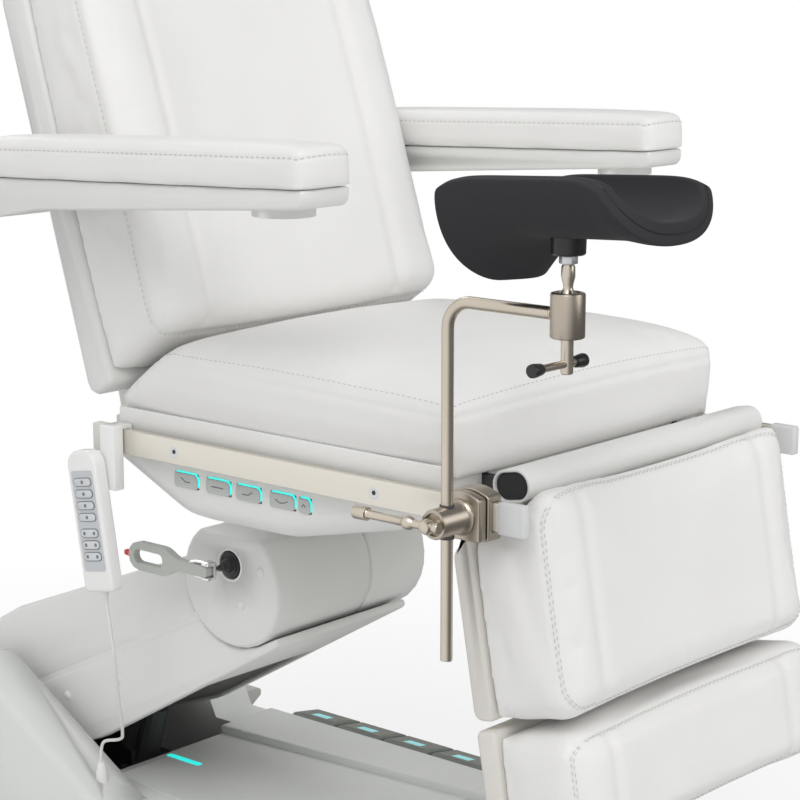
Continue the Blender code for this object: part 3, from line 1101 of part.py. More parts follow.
cut(pad_nut, rod("nut_bore", (CRUTCH_X, SOCKET_Y, NUT_LOW - 0.01), (CRUTCH_X, SOCKET_Y, NUT_LOW + 0.03),
                 STUD_NECK + GAP))
screw_top = BALL_Z - BALL_R - GAP
socket_screw = rod("socket_screw", (CRUTCH_X, SOCKET_Y, SCREW_LOW), (CRUTCH_X, SOCKET_Y, screw_top),
                   SCREW_R)
cut(socket_screw, rod("tommy_hole", (CRUTCH_X - 0.03, SOCKET_Y, TOMMY_Z),
                      (CRUTCH_X + 0.03, SOCKET_Y, TOMMY_Z), TOMMY_R + GAP))
near_end, far_end = CRUTCH_X - TOMMY_NEAR, CRUTCH_X + TOMMY_FAR
socket_bar = rod("socket_bar", (near_end - 0.001, SOCKET_Y, TOMMY_Z), (far_end + 0.001, SOCKET_Y, TOMMY_Z),
                 TOMMY_R)
join(socket_bar, rod("tommy_cap_near", (near_end - 0.003, SOCKET_Y, TOMMY_Z),
                     (near_end + TOMMY_CAP, SOCKET_Y, TOMMY_Z), TOMMY_CAP_R),
     rod("tommy_cap_far", (far_end - TOMMY_CAP, SOCKET_Y, TOMMY_Z), (far_end + 0.003, SOCKET_Y, TOMMY_Z),
         TOMMY_CAP_R))


def ease(a, b, t):
    """Smooth step from 0 at a to 1 at b."""
    x = min(max((t - a) / (b - a), 0.0), 1.0)
    return x * x * (3.0 - 2.0 * x)


def pad_point(c, t):
    """Saddle of the crutch pad: c across from near to far, t along from the rear to the front."""
    droop = PAD_DROOP * max(0.0, 1.0 - t / 0.40) ** 1.7
    floor = PAD_FLOOR - PAD_WALL / 2 + PAD_TILT * (t - 0.465) - droop
    rim = (PAD_NEAR_RIM if c < 0 else PAD_FAR_RIM) + PAD_TILT * (t - 0.5)
    z = floor + (rim - floor) * abs(c) ** (1.5 + 0.9 * ease(0.0, 0.4, t))
    setback = PAD_SETBACK * math.exp(-((c - 0.4) / 0.5) ** 2) * (1.0 - t) ** 2
    x = CRUTCH_X + PAD_HALF * math.sin(0.92 * math.pi / 2 * c) / math.sin(0.92 * math.pi / 2)
    nose = (PAD_NOSE_NEAR if c < 0 else PAD_NOSE_FAR) * c * c * t ** 3
    y = SOCKET_Y + PAD_REAR - PAD_LENGTH * t - setback + nose
    return Vector((x, y, z))


bm = bmesh.new()
bmesh.ops.create_grid(bm, x_segments=6, y_segments=7, size=1.0)
for vert in bm.verts:
    across = vert.co.x * math.sqrt(1.0 - 0.16 * vert.co.y ** 6)
    run = vert.co.y * math.sqrt(1.0 - 0.14 * vert.co.x ** 4)
    vert.co = pad_point(across, (1.0 - run) / 2)
crutch_pad = settle("crutch_pad", bm)
if crutch_pad.data.polygons[0].normal.z < 0:
    crutch_pad.data.flip_normals()
mod = crutch_pad.modifiers.new("wall", "SOLIDIFY")
mod.thickness = PAD_WALL
mod.offset = 0.0
mod = crutch_pad.modifiers.new("soft", "SUBSURF")
mod.levels = mod.render_levels = 1
boss_low = NUT_LOW + NUT_H + GAP
join(crutch_pad, rod("pad_boss", (CRUTCH_X, SOCKET_Y, boss_low), (CRUTCH_X, SOCKET_Y, BOSS_TOP + 0.004),
                     BOSS_R, sides=16))
cut(crutch_pad, rod("pad_bore", (CRUTCH_X, SOCKET_Y, boss_low - 0.01), (CRUTCH_X, SOCKET_Y, stud_top + GAP),
                    STUD_NECK + GAP))

# Handset on its holder at the rear of the near rail
HAND = Matrix.Translation((HAND_X, HAND_Y, HAND_Z)) @ Matrix.Rotation(-HAND_TILT, 4, "X")
handset = block("handset", (-HAND_T / 2, -HAND_W / 2, -HAND_L / 2), (HAND_T / 2, HAND_W / 2, HAND_L / 2),
                HAND, bevel=0.006, segments=2)
holder_out = HAND_X + HAND_T / 2 + GAP
holder_y = RAIL_REAR - GAP - HOLDER_W / 2
handset_holder = block("handset_holder", (holder_out, holder_y - HOLDER_W / 2, rail_low - 0.05),
                       (-rail_out - 2 * GAP, holder_y + HOLDER_W / 2, RAIL_TOP + 0.006), bevel=0.002)
join(handset_holder, block("holder_hook", (-rail_out - 0.005, holder_y - HOLDER_W / 2 + 0.001,
                                           RAIL_TOP + GAP),
                                           (-RAIL_IN + 0.006, holder_y + HOLDER_W / 2 - 0.001,
                                            RAIL_TOP + 0.005)),
     block("holder_lip", (-RAIL_IN + GAP, holder_y - HOLDER_W / 2 + 0.001, RAIL_TOP - 0.012),
           (-RAIL_IN + 0.006, holder_y + HOLDER_W / 2 - 0.001, RAIL_TOP + 0.004)))
hand_foot = HAND @ Vector((0.0, 0.0, -HAND_L / 2))
hand_down = (HAND.to_3x3() @ Vector((0.0, 0.0, -1.0))).normalized()
relief = rod("relief", hand_foot - hand_down * 0.008, hand_foot + hand_down * 0.012, 0.0055, 0.004)
join(handset, relief)

# Cord from the handset to its gland on the base
cord_gland = turned("cord_gland", [
    (0.0, GLAND_H), (GLAND_R * 0.55, GLAND_H), (GLAND_R, GLAND_H - 0.016), (GLAND_R, 0.0), (0.0, 0.0)],
    (GLAND_X, GLAND_Y, GLAND_LOW), steps=16)
cord_start = hand_foot + hand_down * (0.012 + GAP)
cord_end = Vector((GLAND_X, GLAND_Y, GLAND_LOW + GLAND_H + GAP))
span = cord_start.z - cord_end.z
route = [cord_start, cord_start + hand_down * 0.045,
         Vector((-0.334, -0.012, cord_start.z - span * 0.28)),
         Vector((-0.300, 0.020, cord_start.z - span * 0.52)),
         Vector((-0.250, 0.070, cord_start.z - span * 0.74)), Vector((-0.213, 0.118, cord_end.z + 0.050)),
         cord_end + Vector((-0.001, -0.009, 0.034)), cord_end + Vector((0.0, 0.0, 0.014)), cord_end]
handset_cord = tube("handset_cord", smooth_path(route, CORD_STEP), CORD_R)

# Moving bodies, each hung on its joint axis
hang("pedal_axis", (shaft_x, 0.0, shaft_z), *pedals, rear_pedal)
hang("lift_axis", (0.0, LIFT_Y, LIFT_Z), lift_beam, lift_upper_cover, lift_lower_cover)
hang("actuator_axis", act_base, lift_actuator, lift_rod)
hang("level_axis", (0.0, HOUSING_Y, HOUSING_Z), housing_near, housing_far, lock_boot)
hang("lever_axis", (fork_x, LEVER_Y, LEVER_Z), lever_fork, lock_lever)
hang("swivel_axis", (0.0, HOUSING_Y, plate_low), swivel_plate)
hang("tilt_axis", (0.0, HOUSING_Y, TILT_Z), seat_frame, seat_pan, seat_cushion, *rails, *rail_caps,
     back_hinge_pin, leg_hinge_pin, handset_holder)
for key, y in zip(keys, KEY_YS):
    hang(f"{key.name}_axis", (-PAN_HALF, y, KEY_Z), key)
hang("recline_axis", (0.0, BACK_Y, BACK_Z), back_shell, back_cushion)
hang("head_axis", BACK @ Vector((BACK_TOP, post_n, 0.0)), headrest_cushion, headrest_post)
for body, pad in zip(arm_bodies, arm_pads):
    hang(f"{body.name}_axis", (0.0, ARM_PIVOT_Y, ARM_PIVOT_Z), body, pad)
hang("leg_axis", (0.0, LEG_Y, LEG_Z), front_bar, leg_shell, leg_cushion)
hang("foot_axis", LEG @ Vector((foot_low, slide_b, 0.0)), foot_shell, foot_cushion)
hang("clamp_axis", (-RAIL_IN, CRUTCH_Y, RAIL_Z), rail_clamp)
hang("clamp_screw_axis", (CLAMP_BOSS_X, CRUTCH_Y, CLAMP_Z), clamp_screw, clamp_bar)
hang("rod_axis", (CRUTCH_X, CRUTCH_Y, CLAMP_Z), crutch_rod, ball_socket)
hang("ball_axis", (CRUTCH_X, SOCKET_Y, BALL_Z), ball_stud)
hang("pad_axis", (CRUTCH_X, SOCKET_Y, BOSS_TOP), crutch_pad, pad_nut)
hang("socket_screw_axis", (CRUTCH_X, SOCKET_Y, TOMMY_Z), socket_screw, socket_bar)
hang("handset_axis", (HAND_X, HAND_Y, HAND_Z), handset)

finish(DARK_STEEL, base_plate, lift_pin, lift_beam, lift_actuator, swivel_plate, seat_frame, back_hinge_pin,
       leg_hinge_pin, headrest_post)
finish(ZINC, lift_rod, pad_nut)
finish(SHELL_GREY, base_cover, lift_upper_cover, lift_lower_cover, housing_near, housing_far, seat_pan,
       back_shell, *arm_bodies, handset)
finish(SHELL_WARM, leg_shell, foot_shell)
finish(WHITE_PLASTIC, front_bar, *rail_caps, handset_holder, handset_cord, cord_gland)
finish(PEDAL_GREY, *pedals, rear_pedal)
finish(KEY_GREY, *keys, lock_lever)
finish(UPHOLSTERY, seat_cushion, back_cushion, headrest_cushion, *arm_pads, leg_cushion, foot_cushion)
finish(RAIL_STEEL, *rails)
finish(CHROME, lever_fork)
finish(BLACK_PU, crutch_pad, lock_boot)
finish(NICKEL, rail_clamp, clamp_screw, clamp_bar, crutch_rod, ball_socket, ball_stud, socket_screw,
       socket_bar)
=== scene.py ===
"""Looks of a powered examination table with a knee crutch: finishes, cushions, metalwork and trim."""
import logging
import math
from collections.abc import Callable, Sequence
from dataclasses import dataclass
from enum import Enum

import bmesh
import bpy
import numpy as np
from mathutils import Matrix, Vector
from mathutils.bvhtree import BVHTree
from mathutils.kdtree import KDTree


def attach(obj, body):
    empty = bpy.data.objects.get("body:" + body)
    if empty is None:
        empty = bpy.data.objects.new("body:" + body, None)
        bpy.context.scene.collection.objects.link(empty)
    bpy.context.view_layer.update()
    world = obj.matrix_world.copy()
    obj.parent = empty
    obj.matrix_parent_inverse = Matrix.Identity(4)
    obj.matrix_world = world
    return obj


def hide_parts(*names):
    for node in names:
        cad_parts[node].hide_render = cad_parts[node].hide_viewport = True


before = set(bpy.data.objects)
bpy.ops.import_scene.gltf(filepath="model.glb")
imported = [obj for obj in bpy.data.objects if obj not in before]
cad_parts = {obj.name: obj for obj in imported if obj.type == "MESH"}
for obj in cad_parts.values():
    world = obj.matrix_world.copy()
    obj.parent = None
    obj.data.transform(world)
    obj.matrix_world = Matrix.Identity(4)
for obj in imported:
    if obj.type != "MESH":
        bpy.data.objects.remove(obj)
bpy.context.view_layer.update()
LOG = logging.getLogger("examination_table")

Point = tuple[float, float, float]
Pair = tuple[float, float]
Colour = tuple[float, float, float]
SIDE = Matrix(((0, 0, 1, 0), (1, 0, 0, 0), (0, 1, 0, 0), (0, 0, 0, 1)))
SIDES = (("near", -1.0), ("far", 1.0))
GAP = 0.0003
LEG_HINGE = (-0.64, 0.715)
LEG_KICK = math.radians(10.0)
MOTTLE_SCALE = 9.0
MOTTLE_DETAIL = 5.0
MOTTLE_STOPS = (0.3, 0.7)
UNDERSIDE = -0.98


def feed(tree: bpy.types.NodeTree, node: bpy.types.Node, inputs: dict[str | int, object]) -> None:
    """Set each input of a node to a value, or link it to the socket that is given.

    Args:
        tree: The nodes that it is among.
        node: The node.
        inputs: For each input, a value or the socket that feeds it.
    """
    for name, value in inputs.items():
        if isinstance(value, bpy.types.NodeSocket):
            tree.links.new(value, node.inputs[name])
        else:
            node.inputs[name].default_value = value


def add_node(tree: bpy.types.NodeTree, kind: str, inputs: dict[str | int, object] | None = None,
             **options: str) -> bpy.types.Node:
    """Add a node, choose its options and fill its inputs.

    Args:
        tree: The nodes that it joins.
        kind: Its type, without the leading ShaderNode.
        inputs: For each input, a value or the socket that feeds it.
        options: Options of the node.

    Returns:
        The new node.
    """
    node = tree.nodes.new(f"ShaderNode{kind}")
    for name, value in options.items():
        setattr(node, name, value)
    feed(tree, node, inputs or {})
    return node


class Grain(Enum):
    """Kind of fine relief on a surface."""

    LEATHER = "leather"
    PEBBLE = "pebble"
    MOULDED = "moulded"
    BRUSHED = "brushed"
    PLAIN = "plain"


@dataclass(frozen=True)
class Finish:
    """Finish of a surface: colour, gloss and fine relief, all from nodes on object coordinates."""

    name: str
    slot: str
    colour: Colour
    rough: float
    metal: float = 0.0
    grain: Grain = Grain.MOULDED
    size: float = 0.0008
    depth: float = 0.15
    vary: float = 0.03
    rough_vary: float = 0.06
    along: Point = (1.0, 1.0, 1.0)
    shine: float = 0.5
    glow: float = 0.0
    clear: float = 0.0

    def material(self) -> bpy.types.Material:
        """Make the material, or find it if it was made before.

        Returns:
            The Blender material.
        """
        found = bpy.data.materials.get(self.name)
        if found:
            return found
        mat = bpy.data.materials.new(self.name)
        mat.use_nodes = True
        tree = mat.node_tree
        shader = tree.nodes["Principled BSDF"]
        coords = add_node(tree, "TexCoord").outputs["Object"]
        feed(tree, shader,
             {"Metallic": self.metal, "Specular IOR Level": self.shine, "Transmission Weight": self.clear})
        if self.glow:
            feed(tree, shader, {"Emission Color": (*self.colour, 1.0), "Emission Strength": self.glow})
        self._mottle(tree, shader, coords)
        if self.grain is not Grain.PLAIN:
            self._relief(tree, shader, coords)
        return mat

    def _mottle(self, tree: bpy.types.NodeTree, shader: bpy.types.Node,
                coords: bpy.types.NodeSocket) -> None:
        """Vary the colour and the gloss softly over the surface.

        Args:
            tree: The finish's nodes.
            shader: The surface's shader.
            coords: Object coordinates.
        """
        noise = add_node(tree, "TexNoise",
                         {"Scale": MOTTLE_SCALE, "Detail": MOTTLE_DETAIL, "Vector": coords})
        cloud = noise.outputs["Fac"]
        ramp = add_node(tree, "ValToRGB", {"Fac": cloud})
        for stop, place, share in zip(ramp.color_ramp.elements, MOTTLE_STOPS,
                                      (1.0 - self.vary, 1.0 + self.vary)):
            stop.position = place
            stop.color = (*(min(1.0, c * share) for c in self.colour), 1.0)
        gloss = add_node(tree, "MapRange", {"Value": cloud,
                                            "To Min": max(0.03, self.rough - self.rough_vary),
                                            "To Max": min(1.0, self.rough + self.rough_vary)})
        feed(tree, shader, {"Base Color": ramp.outputs["Color"], "Roughness": gloss.outputs["Result"]})

    def _relief(self, tree: bpy.types.NodeTree, shader: bpy.types.Node,
                coords: bpy.types.NodeSocket) -> None:
        """Raise the fine grain of the surface.

        Args:
            tree: The finish's nodes.
            shader: The surface's shader.
            coords: Object coordinates.
        """
        turn = add_node(tree, "Mapping", {"Scale": [a / self.size for a in self.along], "Vector": coords})
        pattern = {"Scale": 1.0, "Vector": turn.outputs["Vector"]}
        if self.grain in (Grain.LEATHER, Grain.PEBBLE):
            height = add_node(tree, "TexVoronoi", pattern, feature="SMOOTH_F1").outputs["Distance"]
        else:
            height = add_node(tree, "TexNoise", pattern).outputs["Fac"]
        bump = add_node(tree, "Bump",
                        {"Strength": self.depth, "Distance": self.size * 0.5, "Height": height})
        feed(tree, shader, {"Normal": bump.outputs["Normal"]})


SHELL = {"size": 0.0007, "depth": 0.10, "vary": 0.015}
LEATHER = Finish("pale_leather", "upholstery", (0.82, 0.815, 0.80), 0.46, grain=Grain.LEATHER, size=0.0011,
                 depth=0.22, vary=0.015)
THREAD = Finish("pale_thread", "upholstery", (0.60, 0.595, 0.575), 0.7, grain=Grain.MOULDED, size=0.0004)
SHELL_GREY = Finish("grey_shell", "shell_grey", (0.76, 0.765, 0.745), 0.42, **SHELL)
SHELL_PALE = Finish("pale_shell", "shell_grey", (0.80, 0.80, 0.785), 0.40, **SHELL)
SHELL_WARM = Finish("beige_shell", "shell_warm", (0.74, 0.715, 0.67), 0.45, **SHELL)
BASE_GREY = Finish("base_shell", "shell_grey", (0.77, 0.785, 0.765), 0.40, **SHELL)
WHITE = Finish("white_plastic", "white_plastic", (0.86, 0.86, 0.85), 0.32, size=0.0006, depth=0.06,
               vary=0.01)
MILKY = Finish("milky_plastic", "white_plastic", (0.83, 0.84, 0.84), 0.30, grain=Grain.PLAIN, vary=0.01,
               clear=0.25)
CORD_WHITE = Finish("cord_white", "white_plastic", (0.78, 0.775, 0.75), 0.45, size=0.0005, depth=0.08,
                    vary=0.02)
DARK_STEEL = Finish("dark_steel", "dark_steel", (0.055, 0.055, 0.06), 0.5, metal=0.4, size=0.0006,
                    depth=0.2)
# Black for painted shade: the disc inside the leg bar's mouth, the screws' sockets and the fill between the
# clamp plates.
SHADE_BLACK = Finish("painted_shade_black", "dark_steel", (0.02, 0.02, 0.022), 0.6, size=0.0008, depth=0.1)
RAIL = Finish("rail_steel", "rail_steel", (0.87, 0.835, 0.77), 0.30, metal=1.0, grain=Grain.BRUSHED,
              size=0.0006, depth=0.06, along=(1.0, 0.02, 1.0), vary=0.03, rough_vary=0.05)
NICKEL = Finish("satin_nickel", "nickel", (0.60, 0.54, 0.455), 0.27, metal=1.0, grain=Grain.BRUSHED,
                size=0.0007, depth=0.08, along=(1.0, 1.0, 0.25), vary=0.05, rough_vary=0.06)
NICKEL_CAST = Finish("cast_nickel", "nickel", (0.46, 0.41, 0.345), 0.34, metal=1.0, size=0.0012, depth=0.16,
                     vary=0.07)
ZINC = Finish("zinc", "zinc", (0.72, 0.73, 0.73), 0.28, metal=1.0, size=0.0007, depth=0.06)
CHROME = Finish("chrome", "chrome", (0.78, 0.78, 0.78), 0.12, metal=1.0, grain=Grain.PLAIN, rough_vary=0.03)
BLACK_PU = Finish("black_pu", "black_pu", (0.006, 0.0065, 0.0075), 0.34, grain=Grain.PEBBLE, size=0.0030,
                  depth=1.0, vary=0.10, rough_vary=0.05, shine=0.42)
BLACK_CAP = Finish("black_cap", "black_pu", (0.016, 0.016, 0.018), 0.32, size=0.0008, depth=0.05)
BLACK_BOOT = Finish("black_boot", "black_pu", (0.012, 0.012, 0.013), 0.35, size=0.0008, depth=0.05)
KEY_FACE = Finish("key_face", "key_grey", (0.52, 0.535, 0.52), 0.42, size=0.0006, depth=0.06)
KEY_MARK = Finish("key_mark", "key_grey", (0.20, 0.205, 0.21), 0.5, size=0.0006, depth=0.05)
HANDLE_GREY = Finish("handle_grey", "key_grey", (0.50, 0.515, 0.485), 0.42, size=0.0007, depth=0.08)
PEDAL = Finish("pedal_grey", "pedal_grey", (0.185, 0.19, 0.165), 0.5, size=0.0008, depth=0.12)
LOCK_PEDAL = Finish("lock_pedal_grey", "pedal_grey", (0.55, 0.555, 0.52), 0.45, size=0.0008, depth=0.10)
PEDAL_TOP = Finish("pedal_top", "pedal_grey", (0.27, 0.275, 0.245), 0.48, size=0.0008, depth=0.12)
KEYPAD = Finish("keypad", "shell_grey", (0.58, 0.60, 0.62), 0.36, size=0.0005, depth=0.03)
KEYPAD_KEY = Finish("keypad_key", "shell_grey", (0.66, 0.69, 0.72), 0.34, size=0.0005, depth=0.03)
TEAL = Finish("teal_glow", "key_grey", (0.03, 0.80, 0.74), 0.4, grain=Grain.PLAIN, glow=0.85, vary=0.0)
ICON = Finish("teal_icon", "pedal_grey", (0.36, 0.80, 0.83), 0.4, grain=Grain.PLAIN, glow=0.25, vary=0.0)
RED = Finish("red_tip", "key_grey", (0.62, 0.035, 0.03), 0.35, size=0.0006, depth=0.05)


class Editing:
    """Edit mode on one object, with everything else left out of the selection."""

    def __init__(self, obj: bpy.types.Object, mode: str = "FACE") -> None:
        """Keep the object and the kind of element that is selected."""
        self.obj = obj
        self.mode = mode

    def __enter__(self) -> bmesh.types.BMesh:
        """Enter edit mode with nothing selected.

        Returns:
            The mesh that is edited.
        """
        focus(self.obj)
        bpy.ops.object.mode_set(mode="EDIT")
        bpy.ops.mesh.select_mode(type=self.mode)
        bpy.ops.mesh.select_all(action="DESELECT")
        return bmesh.from_edit_mesh(self.obj.data)

    def __exit__(self, *problem: object) -> None:
        """Leave edit mode."""
        bpy.ops.object.mode_set(mode="OBJECT")


def focus(obj: bpy.types.Object) -> None:
    """Select one object alone and make it active.

    Args:
        obj: The object.
    """
    bpy.ops.object.select_all(action="DESELECT")
    obj.select_set(True)
    bpy.context.view_layer.objects.active = obj


def primitive(add: Callable, name: str, **sizes: object) -> bpy.types.Object:
    """Add one basic mesh by its operator, alone in the selection.

    Args:
        add: The operator.
        name: Name of the piece.
        sizes: Options of the operator.

    Returns:
        The new piece.
    """
    bpy.ops.object.select_all(action="DESELECT")
    add(**sizes)
    obj = bpy.context.object
    obj.name = name
    return obj


def modify(obj: bpy.types.Object, kind: str, **settings: object) -> None:
    """Put a modifier on a piece.

    Args:
        obj: The mesh piece.
        kind: The modifier's type.
        settings: Its settings.
    """
    mod = obj.modifiers.new(kind.lower(), kind)
    for name, value in settings.items():
        setattr(mod, name, value)


def close_up(obj: bpy.types.Object, weld: float = 1e-6) -> bpy.types.Object:
    """Merge doubled points and turn the faces outwards.

    Args:
        obj: The mesh piece.
        weld: Distance under which points are merged.

    Returns:
        The same piece.
    """
    with Editing(obj, "VERT"):
        bpy.ops.mesh.select_all(action="SELECT")
        bpy.ops.mesh.remove_doubles(threshold=weld)
        bpy.ops.mesh.normals_make_consistent(inside=False)
    return obj


def settle(obj: bpy.types.Object, angle: float = 35.0) -> bpy.types.Object:
    """Apply every modifier and shade the round faces smooth.

    Args:
        obj: The mesh piece.
        angle: Edges sharper than this stay crisp, in degrees.

    Returns:
        The same piece.
    """
    focus(obj)
    for mod in list(obj.modifiers):
        bpy.ops.object.modifier_apply(modifier=mod.name)
    bpy.ops.object.shade_smooth_by_angle(angle=math.radians(angle))
    return obj


def bevelled(obj: bpy.types.Object, width: float, segments: int = 3,
             angle: float = 30.0) -> bpy.types.Object:
    """Round the sharp edges of a piece.

    Args:
        obj: The mesh piece.
        width: Width of the rounding.
        segments: Faces across the rounding.
        angle: Edges sharper than this are rounded, in degrees.

    Returns:
        The same piece, with the rounding applied.
    """
    modify(obj, "BEVEL", width=width, segments=segments, limit_method="ANGLE",
           angle_limit=math.radians(angle))
    return settle(obj)


def slab(name: str, outline: Sequence[Pair], low: float, high: float,
         place: Matrix = Matrix()) -> bpy.types.Object:
    """Flat outline, drawn from a filled circle and extruded.

    Args:
        name: Name of the piece.
        outline: Points round the outline.
        low: Where the extrusion starts, along the local third axis.
        high: Where it ends.
        place: Local axes and origin.

    Returns:
        The new piece.
    """
    obj = primitive(bpy.ops.mesh.primitive_circle_add, name, vertices=len(outline), fill_type="NGON")
    with Editing(obj) as bm:
        for vert, (x, y) in zip(bm.verts, outline):
            vert.co = (x, y, low)
        bmesh.update_edit_mesh(obj.data)
        bpy.ops.mesh.select_all(action="SELECT")
        bpy.ops.mesh.extrude_region_move(TRANSFORM_OT_translate={"value": (0.0, 0.0, high - low)})
    obj.data.transform(place)
    return close_up(obj)


def lathe(name: str, profile: Sequence[Pair], place: Matrix = Matrix(),
          steps: int = 40) -> bpy.types.Object:
    """Profile of radius and height, spun round the local third axis.

    Args:
        name: Name of the piece.
        profile: Points from one end of the axis to the other.
        place: Local axes and origin.
        steps: Faces round the axis.

    Returns:
        The new piece.
    """
    obj = primitive(bpy.ops.mesh.primitive_circle_add, name, vertices=len(profile), fill_type="NOTHING")
    with Editing(obj, "EDGE") as bm:
        bm.verts.ensure_lookup_table()
        for vert, (r, h) in zip(bm.verts, profile):
            vert.co = (r, 0.0, h)
        bm.edges.remove(bm.edges.get((bm.verts[0], bm.verts[-1])))
        bmesh.update_edit_mesh(obj.data)
        bpy.ops.mesh.select_all(action="SELECT")
        bpy.ops.mesh.spin(steps=steps, angle=2.0 * math.pi, center=(0.0, 0.0, 0.0), axis=(0.0, 0.0, 1.0))
    close_up(obj)
    obj.data.transform(place)
    return settle(close_up(obj))


def round_bar(name: str, points: Sequence[Vector], radius: float, resolution: int) -> bpy.types.Object:
    """Curve object of a round bar along points, with closed ends.

    Args:
        name: Name of the piece.
        points: Points along its centre.
        radius: Its radius.
        resolution: Fineness of its round section.

    Returns:
        The new curve.
    """
    curve = bpy.data.curves.new(name, "CURVE")
    curve.dimensions = "3D"
    curve.bevel_depth = radius
    curve.bevel_resolution = resolution
    curve.use_fill_caps = True
    line = curve.splines.new("POLY")
    line.points.add(len(points) - 1)
    for knot, co in zip(line.points, points):
        knot.co = (*co, 1.0)
    line.use_smooth = True
    obj = bpy.data.objects.new(name, curve)
    bpy.context.scene.collection.objects.link(obj)
    return obj


def pipe(name: str, points: Sequence[Vector], radius: float, sides: int = 24) -> bpy.types.Object:
    """Mesh of a round bar along points.

    Args:
        name: Name of the piece.
        points: Points along its centre.
        radius: Its radius.
        sides: Faces round it.

    Returns:
        The new mesh piece.
    """
    focus(round_bar(name, points, radius, sides // 4 - 1))
    bpy.ops.object.convert(target="MESH")
    return settle(close_up(bpy.context.object, 1e-5))


def refined(node: str, name: str, width: float = 0.0, segments: int = 3,
            angle: float = 40.0) -> bpy.types.Object:
    """Smooth copy of a rigid solid, with its edges rounded.

    Args:
        node: The solid that is copied.
        name: Name of the new piece.
        width: Width of the rounding, or 0 for none.
        segments: Faces across the rounding.
        angle: Edges sharper than this stay crisp or are rounded, in degrees.

    Returns:
        The new piece.
    """
    obj = bpy.data.objects.new(name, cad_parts[node].data.copy())
    bpy.context.scene.collection.objects.link(obj)
    obj.data.materials.clear()
    with Editing(obj, "VERT"):
        bpy.ops.mesh.select_all(action="SELECT")
        bpy.ops.mesh.remove_doubles(threshold=1e-5)
        bpy.ops.mesh.dissolve_limited(angle_limit=math.radians(1.0))
    return bevelled(obj, width, segments, angle) if width else settle(obj, angle)


def carve(obj: bpy.types.Object, tool: bpy.types.Object) -> None:
    """Cut a tool's shape out of a piece, and remove the tool.

    Args:
        obj: The mesh piece.
        tool: The closed shape that is cut away.
    """
    modify(obj, "BOOLEAN", object=tool)
    settle(obj)
    bpy.data.objects.remove(tool, do_unlink=True)


def rounded_outline(corners: Sequence[Point], steps: int = 6) -> list[Pair]:
    """Outline with each corner (u, v, radius) rounded by an arc.

    Args:
        corners: Corners in order, with their radii.
        steps: Points along each arc.

    Returns:
        The points of the outline.
    """
    points: list[Pair] = []
    for i, (u, v, r) in enumerate(corners):
        here = Vector((u, v))
        before = Vector(corners[i - 1][:2]) - here
        after = Vector(corners[(i + 1) % len(corners)][:2]) - here
        if r <= 0.0:
            points.append((u, v))
            continue
        half = before.angle(after) / 2
        run = min(r / math.tan(half), before.length * 0.499, after.length * 0.499)
        arc = run * math.tan(half)
        middle = here + (before.normalized() + after.normalized()).normalized() * arc / math.sin(half)
        a = here + before.normalized() * run - middle
        b = here + after.normalized() * run - middle
        turn = math.atan2(a.x * b.y - a.y * b.x, a.dot(b))
        for k in range(steps + 1):
            c, s = math.cos(turn * k / steps), math.sin(turn * k / steps)
            points.append((middle.x + a.x * c - a.y * s, middle.y + a.x * s + a.y * c))
    return points


def rectangle(low: Pair, high: Pair, radius: float = 0.0, steps: int = 6) -> list[Pair]:
    """Outline of a rectangle between two corners, rounded by a radius."""
    (a, b), (c, d) = low, high
    return rounded_outline([(a, b, radius), (c, b, radius), (c, d, radius), (a, d, radius)], steps)


def leg_axes() -> Matrix:
    """Axes of the leg rest: down it, out of its front, across."""
    c, s = math.cos(LEG_KICK), math.sin(LEG_KICK)
    return Matrix(((0, 0, 1, 0), (-s, -c, 0, LEG_HINGE[0]), (-c, s, 0, LEG_HINGE[1]), (0, 0, 0, 1)))


def pointing(place: Point, axis: Point) -> Matrix:
    """Axes at a place with the third one along a direction."""
    return Matrix.Translation(place) @ Vector(axis).to_track_quat("Z", "Y").to_matrix().to_4x4()


def dress(obj: bpy.types.Object, finish: Finish, body: str, *stands_for: str) -> bpy.types.Object:
    """Give a piece its finish and the body that it rides on.

    Args:
        obj: The piece.
        finish: Its finish.
        body: The body that it moves with.
        stands_for: Solids that it replaces.

    Returns:
        The same piece.
    """
    obj.data.materials.clear()
    obj.data.materials.append(finish.material())
    if stands_for:
        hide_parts(*stands_for)
    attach(obj, body)
    LOG.info("%s rides on %s", obj.name, body)
    return obj


def smooth_path(points: Sequence[Vector], step: float, fineness: int = 20) -> list[Vector]:
    """Even points along a smooth curve through route points.

    Args:
        points: The route.
        step: Distance between the points given back.
        fineness: Trial points between two points of the route.

    Returns:
        Points along the curve, both ends included.
    """
    ends = [points[0] * 2 - points[1], *points, points[-1] * 2 - points[-2]]
    fine: list[Vector] = []
    for a, b, c, d in zip(ends, ends[1:], ends[2:], ends[3:]):
        for k in range(fineness):
            t = k / fineness
            bend, twist = 2 * a - 5 * b + 4 * c - d, 3 * b - a - 3 * c + d
            fine.append(0.5 * (2 * b + (c - a) * t + bend * t * t + twist * t ** 3))
    kept = [fine[0]]
    for p in fine[1:]:
        if (p - kept[-1]).length >= step and (p - points[-1]).length > step * 0.6:
            kept.append(p)
    return [*kept, points[-1]]


